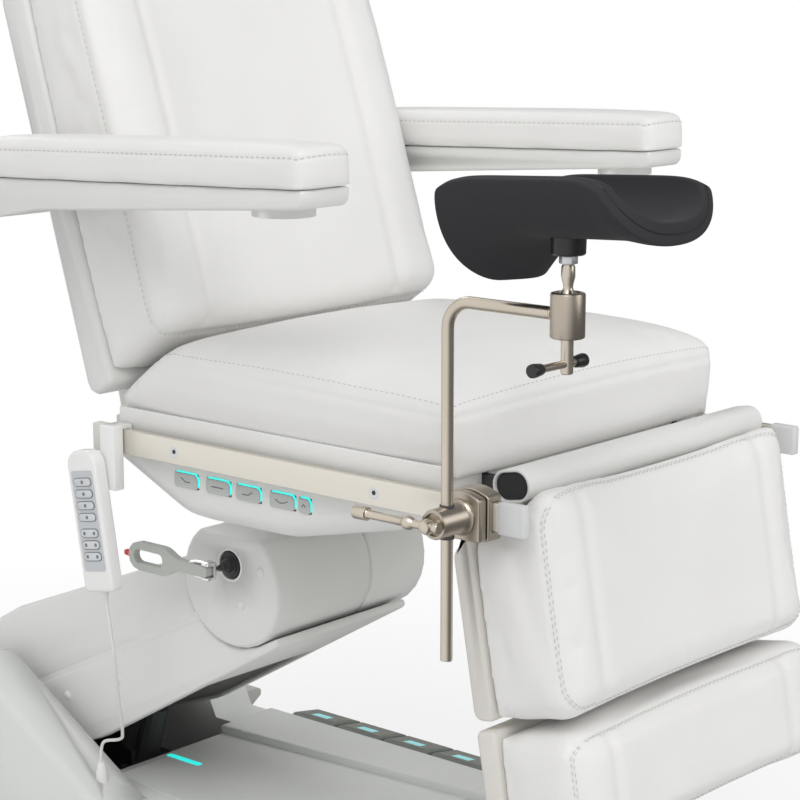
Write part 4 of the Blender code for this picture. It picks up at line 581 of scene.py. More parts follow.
@dataclass
class Studio:
    """Pale floor, soft lamps and the camera."""

    eye: Point = (-2.368, -2.304, 1.356)
    pitch: float = 11.17
    turn: float = -49.09
    lens: float = 101.6
    sensor: float = 36.0
    aim: Point = (-0.1, -0.3, 0.8)
    floor_size: float = 40.0
    floor_colour: Colour = (0.86, 0.86, 0.86)
    fade: Pair = (0.7, 1.8)
    floor_white: float = 0.70
    ambient: float = 0.62
    gloss: Pair = (0.20, 1.05)
    gloss_span: Pair = (-0.35, 0.75)
    gloss_from: Point = (-0.90, 0.30, 0.32)

    def build(self) -> None:
        """Set up the camera, the floor, the world and the lamps."""
        scene = bpy.context.scene
        scene.view_settings.view_transform = "Standard"
        data = bpy.data.cameras.new("camera")
        data.lens = self.lens
        data.sensor_width = self.sensor
        camera = bpy.data.objects.new("camera", data)
        camera.location = self.eye
        camera.rotation_euler = (math.radians(90.0 - self.pitch), 0.0, math.radians(self.turn))
        scene.collection.objects.link(camera)
        scene.camera = camera
        self._floor()
        self._world()
        self._lamp("key_lamp", (-2.6, -2.0, 4.2), 3.0, 72.0)
        self._lamp("fill_lamp", (1.2, -4.2, 2.4), 3.0, 40.0)
        self._lamp("back_lamp", (1.5, 3.5, 3.6), 2.5, 28.0)

    def _floor(self) -> None:
        """Lay the pale floor, which is white to the camera apart from the object's shadow."""
        floor = primitive(bpy.ops.mesh.primitive_plane_add, "floor", size=self.floor_size)
        mat = bpy.data.materials.new("floor_white")
        mat.use_nodes = True
        tree = mat.node_tree
        shader = tree.nodes["Principled BSDF"]
        feed(tree, shader, {"Base Color": (*self.floor_colour, 1.0), "Roughness": 0.9})
        rays = add_node(tree, "LightPath").outputs
        place = add_node(tree, "TexCoord").outputs["Object"]
        far = add_node(tree, "VectorMath", {0: place}, operation="LENGTH")
        fade = add_node(tree, "MapRange", {"From Min": self.fade[0], "From Max": self.fade[1],
                                           "To Min": self.floor_white, "Value": far.outputs["Value"]})
        share = add_node(tree, "Math", {0: rays["Is Camera Ray"], 1: fade.outputs["Result"]},
                         operation="MULTIPLY")
        light = add_node(tree, "Emission")
        mix = add_node(tree, "MixShader", {"Fac": share.outputs["Value"], 1: shader.outputs["BSDF"],
                                           2: light.outputs["Emission"]})
        incoming = add_node(tree, "NewGeometry").outputs["Incoming"]
        mirrored = add_node(tree, "Emission", {"Strength": self._sheen(tree, incoming, -1.0)})
        both = add_node(tree, "MixShader", {"Fac": rays["Is Glossy Ray"], 1: mix.outputs["Shader"],
                                            2: mirrored.outputs["Emission"]})
        feed(tree, tree.nodes["Material Output"], {"Surface": both.outputs["Shader"]})
        floor.data.materials.append(mat)

    def _sheen(self, tree: bpy.types.NodeTree, way: bpy.types.NodeSocket,
               sign: float) -> bpy.types.NodeSocket:
        """Brightness of the room in reflections, brighter towards one side.

        Args:
            tree: The nodes that it is added to.
            way: Direction of the ray.
            sign: 1 if the direction points away from the piece, -1 if it points back to it.

        Returns:
            The socket that carries the brightness.
        """
        facing = add_node(tree, "VectorMath", {0: way, 1: [sign * c for c in self.gloss_from]},
                          operation="DOT_PRODUCT")
        sheen = add_node(tree, "MapRange", {"From Min": self.gloss_span[0], "From Max": self.gloss_span[1],
                                            "To Min": self.gloss[0], "To Max": self.gloss[1],
                                            "Value": facing.outputs["Value"]},
                         interpolation_type="SMOOTHSTEP")
        return sheen.outputs["Result"]

    def _world(self) -> None:
        """Fill the world with soft light, white to the camera and brighter to one side in reflections."""
        world = bpy.data.worlds.new("studio")
        bpy.context.scene.world = world
        world.use_nodes = True
        tree = world.node_tree
        rays = add_node(tree, "LightPath").outputs
        way = add_node(tree, "TexCoord").outputs["Generated"]
        glossy = add_node(tree, "Mix", {"Factor": rays["Is Glossy Ray"], "A": self.ambient,
                                        "B": self._sheen(tree, way, 1.0)})
        seen = add_node(tree, "Math", {0: rays["Is Camera Ray"], 1: rays["Is Transmission Ray"]},
                        operation="MAXIMUM")
        level = add_node(tree, "Mix",
                         {"Factor": seen.outputs["Value"], "A": glossy.outputs["Result"], "B": 1.0})
        feed(tree, tree.nodes["Background"],
             {"Color": (1.0, 1.0, 1.0, 1.0), "Strength": level.outputs["Result"]})

    def _lamp(self, name: str, place: Point, size: float, power: float) -> None:
        """Hang one soft lamp, aimed at the seat.

        Args:
            name: Name of the lamp.
            place: Where it hangs.
            size: Its diameter.
            power: Its power in watts.
        """
        data = bpy.data.lights.new(name, "AREA")
        data.shape = "DISK"
        data.size = size
        data.energy = power
        lamp = bpy.data.objects.new(name, data)
        lamp.location = place
        lamp.rotation_euler = (Vector(self.aim) - Vector(place)).to_track_quat("-Z", "Y").to_euler()
        bpy.context.scene.collection.objects.link(lamp)


@dataclass(frozen=True)
class Seam:
    """Sewn line on a cushion, as a path over the cushion's even cube."""

    path: tuple[Point, ...]
    depth: float = 0.0016
    reach: float = 0.0045
    stitched: bool = True
    groove: bool = True


def ring(w: float, inset: float = 0.0, count: int = 40, bend: float = 0.0) -> tuple[Point, ...]:
    """Loop round a cushion at one height of its cube, or on its top if it is inset.

    Args:
        w: Height on the cube, from -1 to 1.
        inset: Distance in from the sides, as a share of the half width.
        count: Points along each side.
        bend: Radius of its corners, as a share of the half width.

    Returns:
        Points on the cube, in order, ending where they start.
    """
    def turned(u: float, v: float) -> Pair:
        """Point with the corners rounded.

        Args:
            u: Across, from -1 to 1.
            v: Along, from -1 to 1.

        Returns:
            The point, both ways from -1 to 1.
        """
        core = Vector([max(bend - 1.0, min(1.0 - bend, t)) for t in (u, v)])
        out = Vector((u, v)) - core
        return tuple(core + out.normalized() * bend) if bend and out.length else (u, v)
    edge = 1.0 - inset
    runs = [2.0 * k / count - 1.0 for k in range(count)]
    sides = [(t, -1.0) for t in runs] + [(1.0, t) for t in runs]
    sides += [(-t, 1.0) for t in runs] + [(-1.0, -t) for t in runs] + [(-1.0, -1.0)]
    return tuple((u * edge, v * edge, w) for u, v in (turned(*p) for p in sides))


def strip(u: float, w: float = 1.0, low: float = -1.0, high: float = 1.0,
          count: int = 50) -> tuple[Point, ...]:
    """Straight line along a cushion's face at one place across it."""
    return tuple((u, low + (high - low) * k / count, w) for k in range(count + 1))


@dataclass
class Cushion:
    """Padded piece: a crowned block with drawn-in sides, swollen by a cloth simulation, with sewn seams."""

    name: str
    node: str
    body: str
    place: Matrix
    half: float
    low: Callable[[float], float]
    high: Callable[[float], float]
    base: float
    depth: float
    edge: float = 0.022
    corner: float = 0.02
    waist: float = 0.012
    crown: float = 0.0
    relief: Callable[[float, float], float] | None = None
    voxel: float = 0.007
    cap: float = 0.006
    seams: tuple[Seam, ...] = ()
    centre: float = 0.0
    tuck: float = 0.0
    tilt: float = 0.0
    cuts: int = 26
    crowding: float = 1.7
    under_edge: float = 0.5
    crown_fall: Pair = (0.75, 0.55)
    tuck_from: float = 0.7
    pressure: float = 4.0
    frames: int = 20
    seam_step: float = 0.003

    def surface(self, u: float, v: float, w: float) -> Vector:
        """Point of the cushion for a point of its cube.

        Args:
            u: Across, from -1 to 1.
            v: Along, from -1 to 1.
            w: Up from the base, from -1 to 1.

        Returns:
            The point, in metres.
        """
        thick = self.depth / 2
        length = (self.high(self.base) - self.low(self.base)) / 2
        sizes = (self.half, length, thick)
        flat = Vector((u * sizes[0], v * sizes[1], w * sizes[2]))
        radius = self.edge if w > UNDERSIDE else self.edge * self.under_edge
        core = Vector([max(-s + radius, min(s - radius, c)) for s, c in zip(sizes, flat)])
        out = flat - core
        point = core + out.normalized() * min(radius, out.length) if out.length > 1e-9 else core
        a, b, c = (p / s for p, s in zip(point, sizes))
        drawn = 1.0 - self.waist * (1.0 - c * c)
        tucked = 1.0 - self.tuck * min(1.0, max(0.0, -c / self.tuck_from))
        across = a * math.sqrt(max(0.0, 1.0 - self.corner * b ** 4)) * drawn * tucked
        along = b * math.sqrt(max(0.0, 1.0 - self.corner * a ** 4)) * drawn
        lift = max(0.0, (c + 1.0) / 2) ** 3
        fall_across, fall_along = self.crown_fall
        rise = self.crown * (1.0 - fall_across * a * a) * (1.0 - fall_along * b ** 4) * lift
        if self.relief:
            rise += self.relief(a, b) * lift
        up = self.base + (thick + self.tilt * (b + 1.0) / 4) * (c + 1.0) + rise
        t = (along + 1.0) / 2
        run = self.low(up) * (1.0 - t) + self.high(up) * t
        return self.place @ Vector((run, up, self.centre + self.half * across))

    def build(self, finish: Finish, fill: float = 0.8) -> bpy.types.Object:
        """Model, swell, sew and dress the cushion.

        Args:
            finish: Finish of its cover.
            fill: How tightly it is stuffed, from 0 to 1; not used.

        Returns:
            The finished cushion.
        """
        obj = primitive(bpy.ops.mesh.primitive_cube_add, self.name, size=2.0)
        with Editing(obj):
            bpy.ops.mesh.select_all(action="SELECT")
            bpy.ops.mesh.subdivide(number_cuts=self.cuts)
            bm = bmesh.from_edit_mesh(obj.data)
            for vert in bm.verts:
                u, v, w = (math.copysign(1.0 - (1.0 - abs(t)) ** self.crowding, t) for t in vert.co)
                vert.co = self.surface(u, v, w)
            bmesh.update_edit_mesh(obj.data)
        close_up(obj)
        self._swell(obj)
        self._sew(obj)
        return dress(obj, finish, self.body, self.node)

    def _swell(self, obj: bpy.types.Object) -> None:
        """Even out the mesh, let cloth under pressure swell it, and smooth it once more.

        Args:
            obj: The cushion's mesh.
        """
        modify(obj, "REMESH", mode="VOXEL", voxel_size=self.voxel)
        settle(obj)
        before = positions(obj)
        cloth = obj.modifiers.new("cloth", "CLOTH")
        cloth.settings.quality = 4
        cloth.settings.use_pressure = True
        cloth.settings.uniform_pressure_force = self.pressure
        cloth.settings.effector_weights.gravity = 0.0
        cloth.point_cache.frame_end = self.frames
        for number in range(1, self.frames + 1):
            bpy.context.scene.frame_set(number)
        settle(obj)
        bpy.context.scene.frame_set(1)
        self._hold(obj, before)
        modify(obj, "SMOOTH", factor=0.5, iterations=4)
        modify(obj, "SUBSURF", levels=1, render_levels=1)
        settle(obj)
        focus(obj)
        bpy.ops.object.shade_smooth()

    def _hold(self, obj: bpy.types.Object, before: np.ndarray) -> None:
        """Keep the swelling within its cap, and the underside where it rests.

        Args:
            obj: The swollen mesh.
            before: Places of its points before it swelled.
        """
        moved = positions(obj) - before
        size = np.linalg.norm(moved, axis=1, keepdims=True)
        moved *= np.minimum(1.0, self.cap / np.maximum(size, 1e-9))
        frame_in = self.place.inverted()
        up = before @ np.array(frame_in.to_3x3().row[1]) + frame_in.translation[1]
        moved *= np.clip((up - self.base) / (self.depth * 0.6), 0.0, 1.0)[:, None]
        obj.data.vertices.foreach_set("co", (before + moved).astype(np.float32).ravel())
        obj.data.update()

    def _sew(self, obj: bpy.types.Object) -> None:
        """Press each seam into the cover and lay its stitches along it.

        Args:
            obj: The cushion's mesh.
        """
        for number, seam in enumerate(self.seams):
            path = [self.surface(*p) for p in seam.path]
            tree = BVHTree.FromObject(obj, bpy.context.evaluated_depsgraph_get())
            hits = [tree.find_nearest(p) for p in even(path, self.seam_step)]
            line = [hit[0] for hit in hits]
            if seam.groove:
                press(obj, line, seam.depth, seam.reach)
            if seam.stitched:
                thread = stitches(f"{self.name}_stitches_{number + 1}", line, [hit[1] for hit in hits])
                dress(thread, THREAD, self.body)


def positions(obj: bpy.types.Object) -> np.ndarray:
    """Places of a mesh's points, one row each.

    Args:
        obj: The mesh piece.

    Returns:
        The places, in metres.
    """
    flat = np.empty(len(obj.data.vertices) * 3, np.float32)
    obj.data.vertices.foreach_get("co", flat)
    return flat.reshape(-1, 3).astype(float)


def even(path: Sequence[Vector], step: float) -> list[Vector]:
    """Points at an even distance along a path of straight runs.

    Args:
        path: The path.
        step: Distance from point to point.

    Returns:
        The points, from the path's start.
    """
    points = [path[0].copy()]
    left = step
    for a, b in zip(path, path[1:]):
        run = (b - a).length
        place = left
        while place <= run:
            points.append(a.lerp(b, place / run))
            place += step
        left = place - run
    return points


def press(obj: bpy.types.Object, line: Sequence[Vector], depth: float, reach: float) -> None:
    """Press a groove into a mesh along a line.

    Args:
        obj: The mesh piece.
        line: Points along the groove.
        depth: Depth at its middle.
        reach: Half width at which it fades.
    """
    finder = KDTree(len(line))
    for number, p in enumerate(line):
        finder.insert(p, number)
    finder.balance()
    normals = [v.normal.copy() for v in obj.data.vertices]
    for vert, normal in zip(obj.data.vertices, normals):
        distance = finder.find(vert.co)[2]
        if distance < reach * 3.0:
            vert.co -= normal * depth * math.exp(-(distance / reach) ** 2)
    obj.data.update()


def stitches(name: str, line: Sequence[Vector], normals: Sequence[Vector], length: float = 0.0048,
             pitch: float = 0.0075, radius: float = 0.00065) -> bpy.types.Object:
    """Row of stitches along a line on a surface.

    Args:
        name: Name of the row.
        line: Even points along it.
        normals: Directions out of the surface at those points.
        length: Length of a stitch.
        pitch: Distance from stitch to stitch.
        radius: Half the thread's thickness.

    Returns:
        One mesh of all the stitches.
    """
    obj = primitive(bpy.ops.mesh.primitive_cylinder_add, name, vertices=6, radius=radius, depth=length)
    with Editing(obj):
        bpy.ops.mesh.select_all(action="SELECT")
        bpy.ops.mesh.bevel(offset=radius * 0.5, segments=1)
    one = positions(obj)
    faces = [tuple(face.vertices) for face in obj.data.polygons]
    run = (line[1] - line[0]).length
    stride = max(1, round(pitch / run))
    verts: list[Vector] = []
    polys: list[tuple[int, ...]] = []
    for k in range(stride, len(line) - stride, stride):
        along = (line[k + 1] - line[k - 1])
        if along.length < 1e-6:
            continue
        up = normals[k]
        side = along.normalized().cross(up).normalized()
        turn = Matrix((side, up, along.normalized())).transposed()
        start = len(verts)
        verts += [line[k] + up * radius * 0.3 + turn @ Vector(p) for p in one]
        polys += [tuple(start + i for i in face) for face in faces]
    mesh = bpy.data.meshes.new(name)
    mesh.from_pydata(verts, [], polys)
    old, obj.data = obj.data, mesh
    bpy.data.meshes.remove(old)
    return settle(close_up(obj, 1e-9), 60.0)


@dataclass
class Upholstery:
    """Every cushion of the table."""

    seat_base: float = 0.72
    seat_side: float = 0.092
    seat_crown: float = 0.027
    seat_front: float = -0.599
    seat_rear: float = 0.0435
    half: float = 0.306
    seat_half: float = 0.3095
    seat_shift: float = 0.004
    seat_swell: float = 0.014
    leg_half: float = 0.2865
    lean: float = math.radians(17.0)
    shell_face: float = 0.0123
    back_face: float = 0.139
    back_low: float = 0.05
    back_slope: float = 0.062 / 0.182
    back_top: float = 0.66
    back_hinge: Pair = (0.0155, 0.70)
    back_gap: float = 0.004
    back_tail: float = 0.04
    seat_slant: float = 1.389
    slant_run: float = 0.022
    slant_from: float = 0.012
    hem: Pair = (0.2862, 0.2914)
    head_half: float = 0.160
    head_ends: Pair = (0.682, 0.871)
    head_base: float = -0.0065
    head_depth: float = 0.099
    arm_pivot: Pair = (0.135, 1.0575)
    arm_rise: float = math.radians(2.0)
    arm_half: float = 0.0525
    arm_ends: Pair = (-0.031, 0.593)
    arm_depth: float = 0.046
    arm_x: float = 0.362
    leg_ends: Pair = (0.051, 0.295)
    foot_ends: Pair = (0.302, 0.467)
    leg_face: float = 0.0745
    leg_split: float = -0.0417
    leg_slant: float = 0.45
    leg_brow: float = 0.42
    brow_out: float = 0.031

    def back_place(self) -> Matrix:
        """Axes of the back: up it, out of its front, across.

        Returns:
            The axes, with the origin on the hinge.
        """
        c, s = math.cos(self.lean), math.sin(self.lean)
        y, z = self.back_hinge
        return Matrix(((0, 0, 1, 0), (s, -c, 0, y), (c, s, 0, z), (0, 0, 0, 1)))

    def seat_end(self, up: float) -> float:
        """Rear end of the seat at a height: it slants under the back."""
        slanted = self.seat_rear + self.slant_run - self.seat_slant * (up - self.seat_base - self.slant_from)
        return min(self.seat_rear - 0.002, slanted)

    def back_end(self, out: float) -> float:
        """Lower end of the back at a distance from the hinge plane."""
        return self.back_low + self.back_gap + (out + self.back_tail) * self.back_slope

    def build(self) -> None:
        """Make the cushions of the seat, back, head, arms and legs."""
        self._seat()
        self._back()
        self._head()
        for side, sign in SIDES:
            self._arm(side, sign)
        self._leg("leg_pad", "leg_cushion", "leg", self.leg_ends, self.leg_slant, self.leg_brow)
        self._leg("foot_pad", "foot_cushion", "foot", self.foot_ends, 0.0, 0.0)

    def _seat(self) -> None:
        """Seat cushion with a sewn edge round its top, and the hem of its cover over each rail."""
        def full(a: float, b: float) -> float:
            """Extra height of the top, which stays flat until close to its edges."""
            return self.seat_swell * (1.0 - a ** 8) * (1.0 - b ** 8) * (1.0 - ease(0.1, 0.9, b))
        Cushion("seat_pad", "seat_cushion", "seat", SIDE, self.seat_half, lambda up: self.seat_front,
                self.seat_end, self.seat_base, self.seat_side, edge=0.026, corner=0.045,
                crown=self.seat_crown, relief=full, tuck=0.052, tilt=0.013, centre=self.seat_shift,
                seams=(Seam(ring(0.70), stitched=False), Seam(ring(1.0, 0.035), groove=False))).build(LEATHER)
        front, rear = self.seat_front + 0.025, self.seat_rear - 0.03
        low, high = self.seat_base - 0.0135, self.seat_base + 0.018
        for side, sign in SIDES:
            hem = slab(f"seat_hem_{side}", rectangle((front, low), (rear, high)),
                       *sorted(sign * x for x in self.hem), SIDE)
            dress(bevelled(hem, 0.0015, 2), LEATHER, "seat")

    def _back(self) -> None:
        """Back cushion with side bolsters and a seam along its sides."""
        def hollow(a: float, b: float) -> float:
            """Depth of the middle between the bolsters."""
            return -0.020 * max(0.0, 1.0 - (abs(a) / 0.72) ** 3) - 0.012 * b * b * (b > 0)
        seams = [Seam(ring(0.62))]
        seams += [Seam(strip(u, 1.0, -0.96, 0.96), depth=0.004, reach=0.011, stitched=False)
                  for u in (-0.66, 0.66)]
        Cushion("back_pad", "back_cushion", "back", self.back_place(), self.half, self.back_end,
                lambda out: self.back_top - 0.002, self.shell_face, self.back_face - self.shell_face,
                edge=0.030, corner=0.03, relief=hollow, centre=self.seat_shift,
                seams=tuple(seams)).build(LEATHER)

    def _head(self) -> None:
        """Headrest cushion."""
        Cushion("head_pad", "headrest_cushion", "headrest", self.back_place(), self.head_half,
                lambda out: self.head_ends[0], lambda out: self.head_ends[1], self.head_base,
                self.head_depth, edge=0.030, corner=0.10, crown=0.010, voxel=0.006, cap=0.004,
                seams=(Seam(ring(0.35)),)).build(LEATHER)

    def _arm(self, side: str, sign: float) -> None:
        """One arm pad, with a seam along its sides.

        Args:
            side: Name of the side, near or far.
            sign: Its direction across, -1 for near and 1 for far.
        """
        turn = math.pi - self.arm_rise
        c, s = math.cos(turn), math.sin(turn)
        y, z = self.arm_pivot
        place = Matrix(((0, 0, -1, 0), (c, s, 0, y), (s, -c, 0, z), (0, 0, 0, 1)))
        Cushion(f"arm_rest_pad_{side}", f"arm_pad_{side}", f"arm_{side}", place, self.arm_half,
                lambda up: self.arm_ends[0], lambda up: self.arm_ends[1], GAP, self.arm_depth, edge=0.016,
                corner=0.055, waist=0.01, crown=0.009, voxel=0.0045, cap=0.003, centre=-sign * self.arm_x,
                seams=(Seam(ring(0.72), depth=0.0012, reach=0.003),)).build(LEATHER)

    def _leg(self, name: str, node: str, body: str, ends: Pair, slant: float, brow: float) -> None:
        """One pad of the leg rest, dished between its bolsters.

        Args:
            name: Name of the pad.
            node: The solid that it replaces.
            body: The body that it rides on.
            ends: Where it starts and ends, down the leg rest.
            slant: How far its upper end slants up towards the front.
            brow: How much steeper that slant is in front of the bar.
        """
        def dish(a: float, b: float) -> float:
            """Depth of the dish across the pad."""
            return -0.012 * max(0.0, 1.0 - (a / 0.7) ** 2)

        def upper(out: float) -> float:
            """Upper end at a distance out of the hinge plane."""
            return ends[0] - slant * (out - self.leg_split) - brow * max(0.0, out - self.brow_out)

        def lowered(path: tuple[Point, ...]) -> tuple[Point, ...]:
            """Seam with its upper run further down the face."""
            return tuple((u, v * (1.0 - 0.26 * brow) if v < 0 else v, w) for u, v, w in path)
        Cushion(name, node, body, leg_axes(), self.leg_half, upper, lambda out: ends[1], self.leg_split,
                self.leg_face - self.leg_split, edge=0.030, corner=0.03, relief=dish, voxel=0.0065,
                seams=(Seam(lowered(ring(1.0, 0.012, bend=0.34)), depth=0.0012, reach=0.003),
                       Seam(lowered(ring(1.0, 0.034, bend=0.33)), groove=False),
                       *(Seam(strip(u, 1.0, -0.86, 0.86), depth=0.004, reach=0.012, stitched=False)
                         for u in (-0.70, 0.70)))).build(LEATHER)


@dataclass
class KneeCrutch:
    """Saddle pad on a ball stud, its bent rod and its rail clamp."""

    x: float = -0.36
    rod_y: float = -0.638
    rod_r: float = 0.0075
    rod_low: float = 0.52
    rod_high: float = 0.96
    bend: float = 0.034
    socket_y: float = -0.812
    socket_r: float = 0.020
    socket_low: float = 0.934
    socket_top: float = 0.986
    ball_z: float = 0.9725
    nut_r: float = 0.011
    nut_low: float = 1.018
    nut_high: float = 1.0277
    pad_floor: float = 1.0655
    pad_half: float = 0.0865
    pad_rear: float = 0.1275
    pad_length: float = 0.274
    pad_wall: float = 0.0175
    lip_wall: float = 0.026
    near_rim: float = 1.121
    far_rim: float = 1.111
    pad_tilt: float = 0.0125
    pad_droop: float = 0.0565
    setback: float = 0.045
    nose: Pair = (0.038, 0.018)
    clamp_z: float = 0.694
    clamp_in: float = -0.2935
    jaw_out: float = -0.3185
    plate_in: float = -0.3205
    clamp_out: float = -0.3347
    slot: Point = (-0.305, 0.0112, 0.0364)
    throat: Point = (-0.288, 0.032, 0.0230)
    screw_foot: float = 0.893
    bar_z: float = 0.905
    boss_end: float = -0.386
    boss_r: float = 0.0185

    def build(self) -> None:
        """Make the crutch from its clamp up to its pad."""
        self._clamp()
        self._rod()
        self._socket()
        self._pad()

    def _pad_point(self, c: float, t: float) -> Vector:
        """Middle surface of the pad.

        Args:
            c: Across, from -1 at the near rim to 1 at the far one.
            t: Along, from 0 at the rear to 1 at the front.

        Returns:
            The point, in metres.
        """
        droop = self.pad_droop * max(0.0, 1.0 - t / 0.40) ** 1.7
        floor = self.pad_floor - self.pad_wall / 2 + self.pad_tilt * (t - 0.465) - droop
        rim = (self.near_rim if c < 0 else self.far_rim) + self.pad_tilt * (t - 0.5)
        fall = ease(0.0, 0.4, t)
        steep = 1.5 + 0.9 * fall if c < 0 else 2.4 + 3.0 * (1.0 - fall)
        z = floor + (rim - floor) * abs(c) ** steep
        swing = 0.92 * math.pi / 2
        x = self.x + self.pad_half * math.sin(swing * c) / math.sin(swing)
        back = self.setback * math.exp(-((c - 0.4) / 0.5) ** 2) * (1.0 - t) ** 2
        nose = self.nose[c > 0] * c * c * t ** 3
        return Vector((x, self.socket_y + self.pad_rear - self.pad_length * t - back + nose, z))

    def _pad_place(self, u: float, v: float) -> Vector:
        """Point of the pad for a point of a square, with the square's corners rounded.

        Args:
            u: Across, from -1 to 1.
            v: Along, from -1 at the front to 1 at the rear.

        Returns:
            The point, in metres.
        """
        across = u * math.sqrt(1.0 - 0.16 * v ** 6)
        run = v * math.sqrt(1.0 - 0.14 * u ** 4)
        return self._pad_point(across, (1.0 - run) / 2)

    def _fullness(self, place: Pair) -> float:
        """Share of the full wall thickness: the rim is rolled, most of all at the front.

        Args:
            place: Point of the square.

        Returns:
            The share, from 0 to 1.
        """
        u, v = place
        thin = self.pad_wall / self.lip_wall
        side = 0.35 * ease(0.70, 1.0, abs(u))
        return thin + (1.0 - thin) * max(side, ease(0.62, 0.95, -v))

    def _pad(self) -> None:
        """Black saddle pad with a rounded rim and its boss."""
        pad = primitive(bpy.ops.mesh.primitive_grid_add, "saddle_pad", x_subdivisions=30, y_subdivisions=44,
                        size=2.0)
        rims = [(vert.co.x, vert.co.y) for vert in pad.data.vertices]
        with Editing(pad) as bm:
            for vert in bm.verts:
                vert.co = self._pad_place(vert.co.x, vert.co.y)
            bmesh.update_edit_mesh(pad.data)
        thick = pad.vertex_groups.new(name="thick")
        for vert in pad.data.vertices:
            thick.add([vert.index], self._fullness(rims[vert.index]), "REPLACE")
        modify(pad, "SOLIDIFY", vertex_group="thick", thickness=self.lip_wall, offset=0.0,
               use_even_offset=True)
        settle(pad)
        close_up(pad)
        bevelled(pad, 0.0080, 5, 60.0)
        modify(pad, "SUBSURF", levels=1, render_levels=1)
        settle(pad)
        focus(pad)
        bpy.ops.object.shade_smooth()
        dress(pad, BLACK_PU, "pad", "crutch_pad")
        rim = [self._pad_place(u, v) for u, v, _ in ring(0.0, count=60)]
        dress(pipe("saddle_seam", even(rim, 0.004), 0.0006, 8), BLACK_CAP, "pad")
        top = self.pad_floor - self.pad_wall
        boss = lathe("pad_boss", [(0.0, top + 0.004), (0.0205, top + 0.004), (0.0200, top - 0.004),
                                  (0.0196, self.nut_high + 0.002), (0.0180, self.nut_high + 0.0005),
                                  (0.0, self.nut_high + 0.0005)], self._at(self.socket_y))
        dress(boss, BLACK_CAP, "pad")

    def _at(self, y: float) -> Matrix:
        """Upright axis of the crutch at a place along it."""
        return Matrix.Translation((self.x, y, 0.0))

    def _rod(self) -> None:
        """Bent rod with chamfered foot."""
        turns = [math.pi / 2 * k / 14 for k in range(15)]
        corner_y, corner_z = self.rod_y - self.bend, self.rod_high - self.bend
        bend = [Vector((self.x, corner_y + self.bend * math.cos(t), corner_z + self.bend * math.sin(t)))
                for t in turns]
        start = [Vector((self.x, self.rod_y, self.rod_low + 0.0012))]
        end = [Vector((self.x, self.socket_y + self.socket_r - 0.002, self.rod_high))]
        rod = pipe("bent_rod", start + bend + end, self.rod_r, 32)
        dress(bevelled(rod, 0.0012, 2, 60.0), NICKEL, "crutch", "crutch_rod")
        collar = lathe("rod_weld", [(0.0, -0.0012), (self.rod_r + 0.0018, -0.0012),
                                    (self.rod_r + 0.0018, 0.0004), (self.rod_r, 0.003), (0.0, 0.003)],
                       pointing((self.x, self.socket_y + self.socket_r, self.rod_high), (0, 1, 0)))
        dress(collar, NICKEL, "crutch")

    def _socket(self) -> None:
        """Ball socket, ball stud, nut, clamping screw and its cross bar."""
        r, low, top = self.socket_r, self.socket_low, self.socket_top
        axis = self._at(self.socket_y)
        cup = lathe("ball_cup", [(0.0, low), (r - 0.0022, low), (r - 0.0006, low + 0.0008),
                                 (r, low + 0.0024), (r, top - 0.0026), (r - 0.0008, top - 0.0008),
                                 (r - 0.003, top), (0.0130, top), (0.0122, top - 0.0012),
                                 (0.0122, top - 0.004), (0.0, top - 0.004)], axis, 64)
        dress(cup, NICKEL_CAST, "crutch", "ball_socket")
        z = self.ball_z
        stud = lathe("stud_neck", [(0.0, z), (0.0118, z), (0.0118, z + 0.0065), (0.0095, z + 0.0115),
                                   (0.0064, z + 0.0155), (0.0056, z + 0.019), (0.0060, z + 0.023),
                                   (0.0078, z + 0.030), (0.0080, z + 0.033),
                                   (0.0078, self.nut_low - 0.0035), (0.0066, self.nut_low - 0.0005),
                                   (0.0052, self.nut_low), (0.0052, self.nut_high + 0.01),
                                   (0.0, self.nut_high + 0.01)], axis, 48)
        dress(stud, NICKEL, "ball", "ball_stud")
        corners = [math.pi / 3 * k for k in range(6)]
        nut = slab("lock_nut", [(self.nut_r * math.cos(t), self.nut_r * math.sin(t)) for t in corners],
                   self.nut_low, self.nut_high, axis)
        dress(bevelled(nut, 0.0011, 2), ZINC, "pad", "pad_nut")
        foot = self.screw_foot
        screw = lathe("socket_screw_shank", [(0.0, foot), (0.0060, foot), (0.00725, foot + 0.0012),
                                             (0.00725, low - 0.001), (0.0062, low - 0.0004),
                                             (0.0062, low + 0.02), (0.0, low + 0.02)], axis, 40)
        dress(screw, NICKEL, "socket_screw", "socket_screw")
        across = pointing((self.x, self.socket_y, self.bar_z), (-1, 0, 0))
        bar = lathe("tommy_bar", [(0.0, -0.028), (0.0046, -0.028), (0.0046, 0.060), (0.0, 0.060)], across,
                    32)
        dress(bar, NICKEL, "socket_bar", "socket_bar")
        for name, start, sign in (("tommy_cap_near", 0.0475, 1.0), ("tommy_cap_far", -0.0145, -1.0)):
            cap = lathe(name, [(0.0, start), (0.0062, start), (0.0068, start + sign * 0.0015),
                               (0.0082, start + sign * 0.014), (0.0076, start + sign * 0.0178),
                               (0.0, start + sign * 0.0183)], across, 32)
            dress(cap, BLACK_CAP, "socket_bar")

